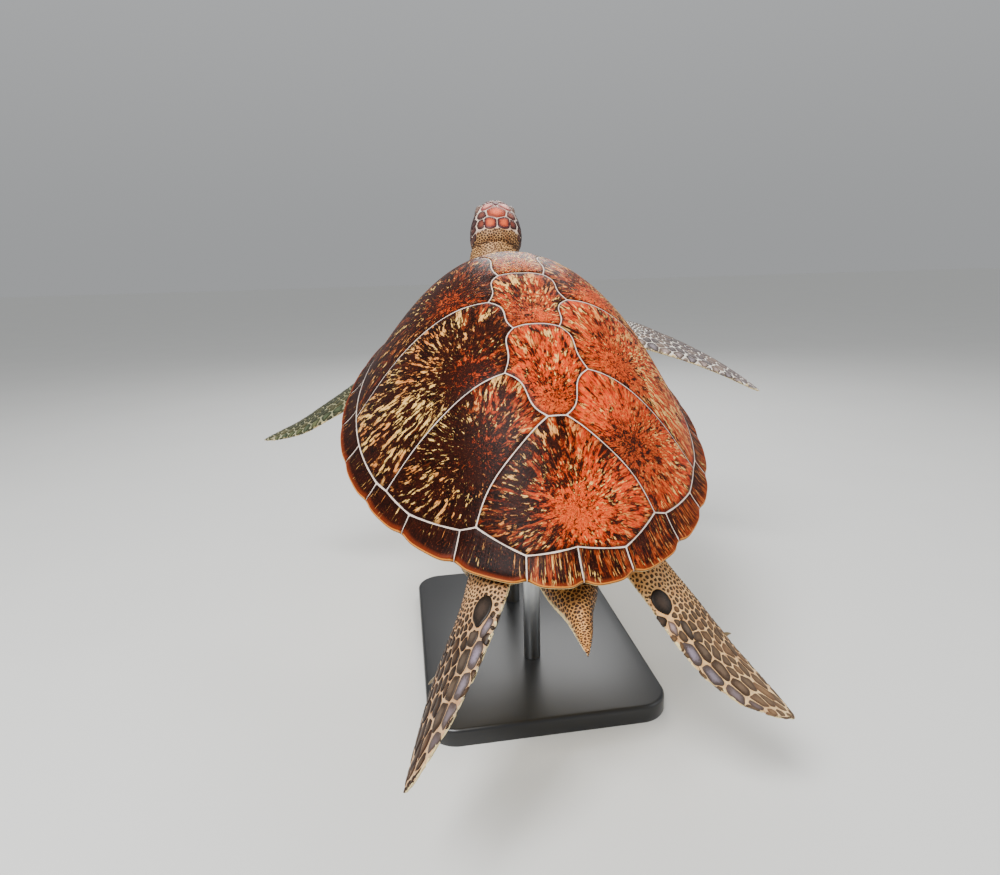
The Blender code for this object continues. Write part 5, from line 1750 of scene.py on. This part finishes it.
def plastron_material():
    """Waxy cream horn: clouds of 77 mm, specks of 8 mm and brown seams 5 mm wide."""
    mat, tree, place = new_material("pale belly horn")
    edge = add(tree, "Attribute", attribute_name="edge")
    cloud = add(tree, "TexNoise", {"Vector": place, "Scale": 13.0, "Detail": 5.0,
                                   "Roughness": 0.6})
    fine = add(tree, "TexNoise", {"Vector": place, "Scale": 120.0, "Detail": 3.0})
    tone = add(tree, "Mix", {0: cloud, 6: "#D8B56C", 7: "#F0DFA8"})
    tone = coated(tree, tone, (fine, 0.55, 0.8, "#C79A5A"),
                  (edge, 0.0026, 0.0010, "#9C7A45"))
    return shaded(mat, tone, 0.42, (0.3, 0.0008, cloud))


points, faces, values = plastron_piece()
plastron = new_piece("plastron_horn", points, faces, plastron_material(), "belly_plate", values)
plastron.data.set_sharp_from_angle(angle=math.radians(50))
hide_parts("plastron")
print("plastron points", len(points))

# %% [markdown]
# ## Stand
# A flat base of black lacquered board and two brushed steel rods with round pads, as a
# museum would make them. All are primitives: a cube with three bevels, since its corners,
# its top edge and its foot are rounded by different amounts, and cylinders.

# %% Stand materials
def lacquer_material():
    """Sprayed satin lacquer: black, with a faint orange peel of 4 mm in its highlights."""
    mat, tree, place = new_material("black satin lacquer")
    peel = add(tree, "TexNoise", {"Vector": place, "Scale": 260.0, "Detail": 2.0})
    cloud = add(tree, "TexNoise", {"Vector": place, "Scale": 6.0})
    tone = add(tree, "Mix", {0: cloud, 6: "#161617", 7: "#1E1E20"})
    rough = add(tree, "MapRange", {0: cloud, 3: 0.28, 4: 0.36})
    return shaded(mat, tone, rough, (0.06, 0.0003, peel))


def steel_material():
    """Steel brushed along the rod: lines 0.7 mm apart, 55 mm long, blur its reflections."""
    mat, tree, place = new_material("brushed steel")
    along = add(tree, "VectorMath", {0: place, 1: (1400.0, 1400.0, 18.0)}, operation="MULTIPLY")
    brush = add(tree, "TexNoise", {"Vector": along, "Scale": 1.0, "Detail": 2.0})
    tone = add(tree, "Mix", {0: brush, 6: "#A9ABAE", 7: "#C4C6C8"})
    rough = add(tree, "MapRange", {0: brush, 3: 0.26, 4: 0.42})
    return shaded(mat, tone, rough, (0.1, 0.0002, brush), Metallic=1.0)


lacquer, brushed = lacquer_material(), steel_material()
print("made", lacquer.name, "and", brushed.name)

# %% Base
BASE_SIZE = (0.40, 0.54, 0.030)
ROD_RADIUS, PAD_RADIUS, PAD = 0.015, 0.032, 0.008


def bevel_edges(width, segments, chosen):
    """Bevels the edges whose two ends both pass the test."""
    mesh = bpy.context.active_object.data
    bpy.ops.object.mode_set(mode="EDIT")
    bpy.ops.mesh.select_mode(type="EDGE")
    bpy.ops.mesh.select_all(action="DESELECT")
    bpy.ops.object.mode_set(mode="OBJECT")
    for edge in mesh.edges:
        edge.select = chosen(*(mesh.vertices[i].co for i in edge.vertices))
    bpy.ops.object.mode_set(mode="EDIT")
    bpy.ops.mesh.bevel(offset=width, segments=segments, profile=0.5)
    bpy.ops.object.mode_set(mode="OBJECT")


bpy.ops.object.select_all(action="DESELECT")
bpy.ops.mesh.primitive_cube_add(size=1, location=(0, 0, BASE_SIZE[2] / 2), scale=BASE_SIZE)
bpy.ops.object.transform_apply(location=True, rotation=False, scale=True)
base = bpy.context.active_object
base.name = "stand_base_board"
bevel_edges(0.05, 16, lambda a, b: abs(a.z - b.z) > 0.02)
bevel_edges(0.006, 4, lambda a, b: min(a.z, b.z) > BASE_SIZE[2] - 1e-5)
bevel_edges(0.0008, 2, lambda a, b: max(a.z, b.z) < 1e-5)
base.data.shade_smooth()
base.data.set_sharp_from_angle(angle=math.radians(60))
base.data.materials.append(lacquer)
finished(base)
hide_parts("stand_base")
print("base", BASE_SIZE)

# %% Rods and pads
foot = BASE_SIZE[2]
for side, name in ((1, "stand_rod_front"), (-1, "stand_rod_rear")):
    pad_middle = POSE @ Vector((0, side * 0.115, -BELLY_DEPTH - 0.011 - 0.0003 - PAD / 2))
    bpy.ops.mesh.primitive_cylinder_add(vertices=48, radius=ROD_RADIUS, depth=pad_middle.z - foot,
                                        location=(pad_middle.x, pad_middle.y,
                                                  (pad_middle.z + foot) / 2))
    rod = bpy.context.active_object
    rod.name = name + "_tube"
    bpy.ops.object.transform_apply(location=True)
    for vert in rod.data.vertices:
        if vert.co.z > foot + 0.05:
            vert.co.z += (vert.co.y - pad_middle.y) * math.tan(PITCH)
    bpy.ops.mesh.primitive_cylinder_add(vertices=64, radius=PAD_RADIUS, depth=PAD)
    pad = bpy.context.active_object
    pad.data.transform(Matrix.Translation(pad_middle) @ Matrix.Rotation(PITCH, 4, "X"))
    rod.select_set(True)
    bpy.context.view_layer.objects.active = rod
    bpy.ops.object.join()
    apply_modifier(rod, "BEVEL", width=0.0008, segments=2, limit_method="ANGLE",
                   angle_limit=math.radians(50))
    rod.data.shade_smooth()
    rod.data.set_sharp_from_angle(angle=math.radians(40))
    rod.data.materials.append(brushed)
    finished(rod)
    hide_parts(name)
    bpy.ops.object.select_all(action="DESELECT")
print("rods made")

# %% [markdown]
# ## Studio: floor, light and camera
# The model stands on a wide sheet of pale paper in a bright room. One large lamp from the
# upper left stands for the sun, a weak one fills the right side, and one behind draws the
# edges. The camera looks from behind and above, where the whole shell shows.

# %% Floor
WORLD_LIGHT = 0.55
# Matt paper takes soft shadows and shows no highlight. Its tone drifts over 0.3 m
paper = grained("matt pale paper", 3.0, 2.0, "#D9D9D6", "#DEDEDB", 0.9)
bpy.ops.mesh.primitive_plane_add(size=60, location=(0, 0, 0))
floor = bpy.context.active_object
floor.name = "studio_floor"
floor.data.materials.append(paper)
world = bpy.data.worlds.new("pale room")
world.use_nodes = True
look = add(world.node_tree, "TexCoord", out=0)
look = add(world.node_tree, "SeparateXYZ", {0: look}, 2)
sky = coated(world.node_tree, "#D6D8DA", (look, 0.0, 0.5, "#F4F6F8"), **SOFT)
fill(world.node_tree, world.node_tree.nodes["Background"], {0: sky, 1: WORLD_LIGHT})
bpy.context.scene.world = world
print("floor and", world.name)

# %% Lights
# Each lamp's place, size in metres and power in watts
LIGHTS = (("key", (-1.3, -1.5, 2.9), 1.4, 162), ("fill", (2.6, -1.2, 1.8), 2.0, 26),
          ("back", (0.6, 2.6, 2.6), 1.6, 60))
AIM = Vector((0, 0, 0.5))
for name, place, size, power in LIGHTS:
    bpy.ops.object.light_add(type="AREA", location=place)
    light = bpy.context.active_object
    light.name = f"{name}_light"
    light.data.size, light.data.energy = size, power
    light.rotation_euler = (AIM - Vector(place)).to_track_quat("-Z", "Y").to_euler()
print("lights", len(LIGHTS))

# %% Camera
CAMERA_AT, LENS = (-0.2028, -1.1340, 0.7281), 23.34
right, up = Vector((0.98808, -0.15182, -0.02559)), Vector((0.06315, 0.24805, 0.96669))
camera = new_object("camera", bpy.data.cameras.new("camera"))
camera.data.lens, camera.data.sensor_width = LENS, 36
turn = Matrix((right, up, right.cross(up))).transposed().to_4x4()
camera.matrix_world = Matrix.Translation(CAMERA_AT) @ turn
bpy.context.scene.camera = camera
print("camera at", CAMERA_AT)
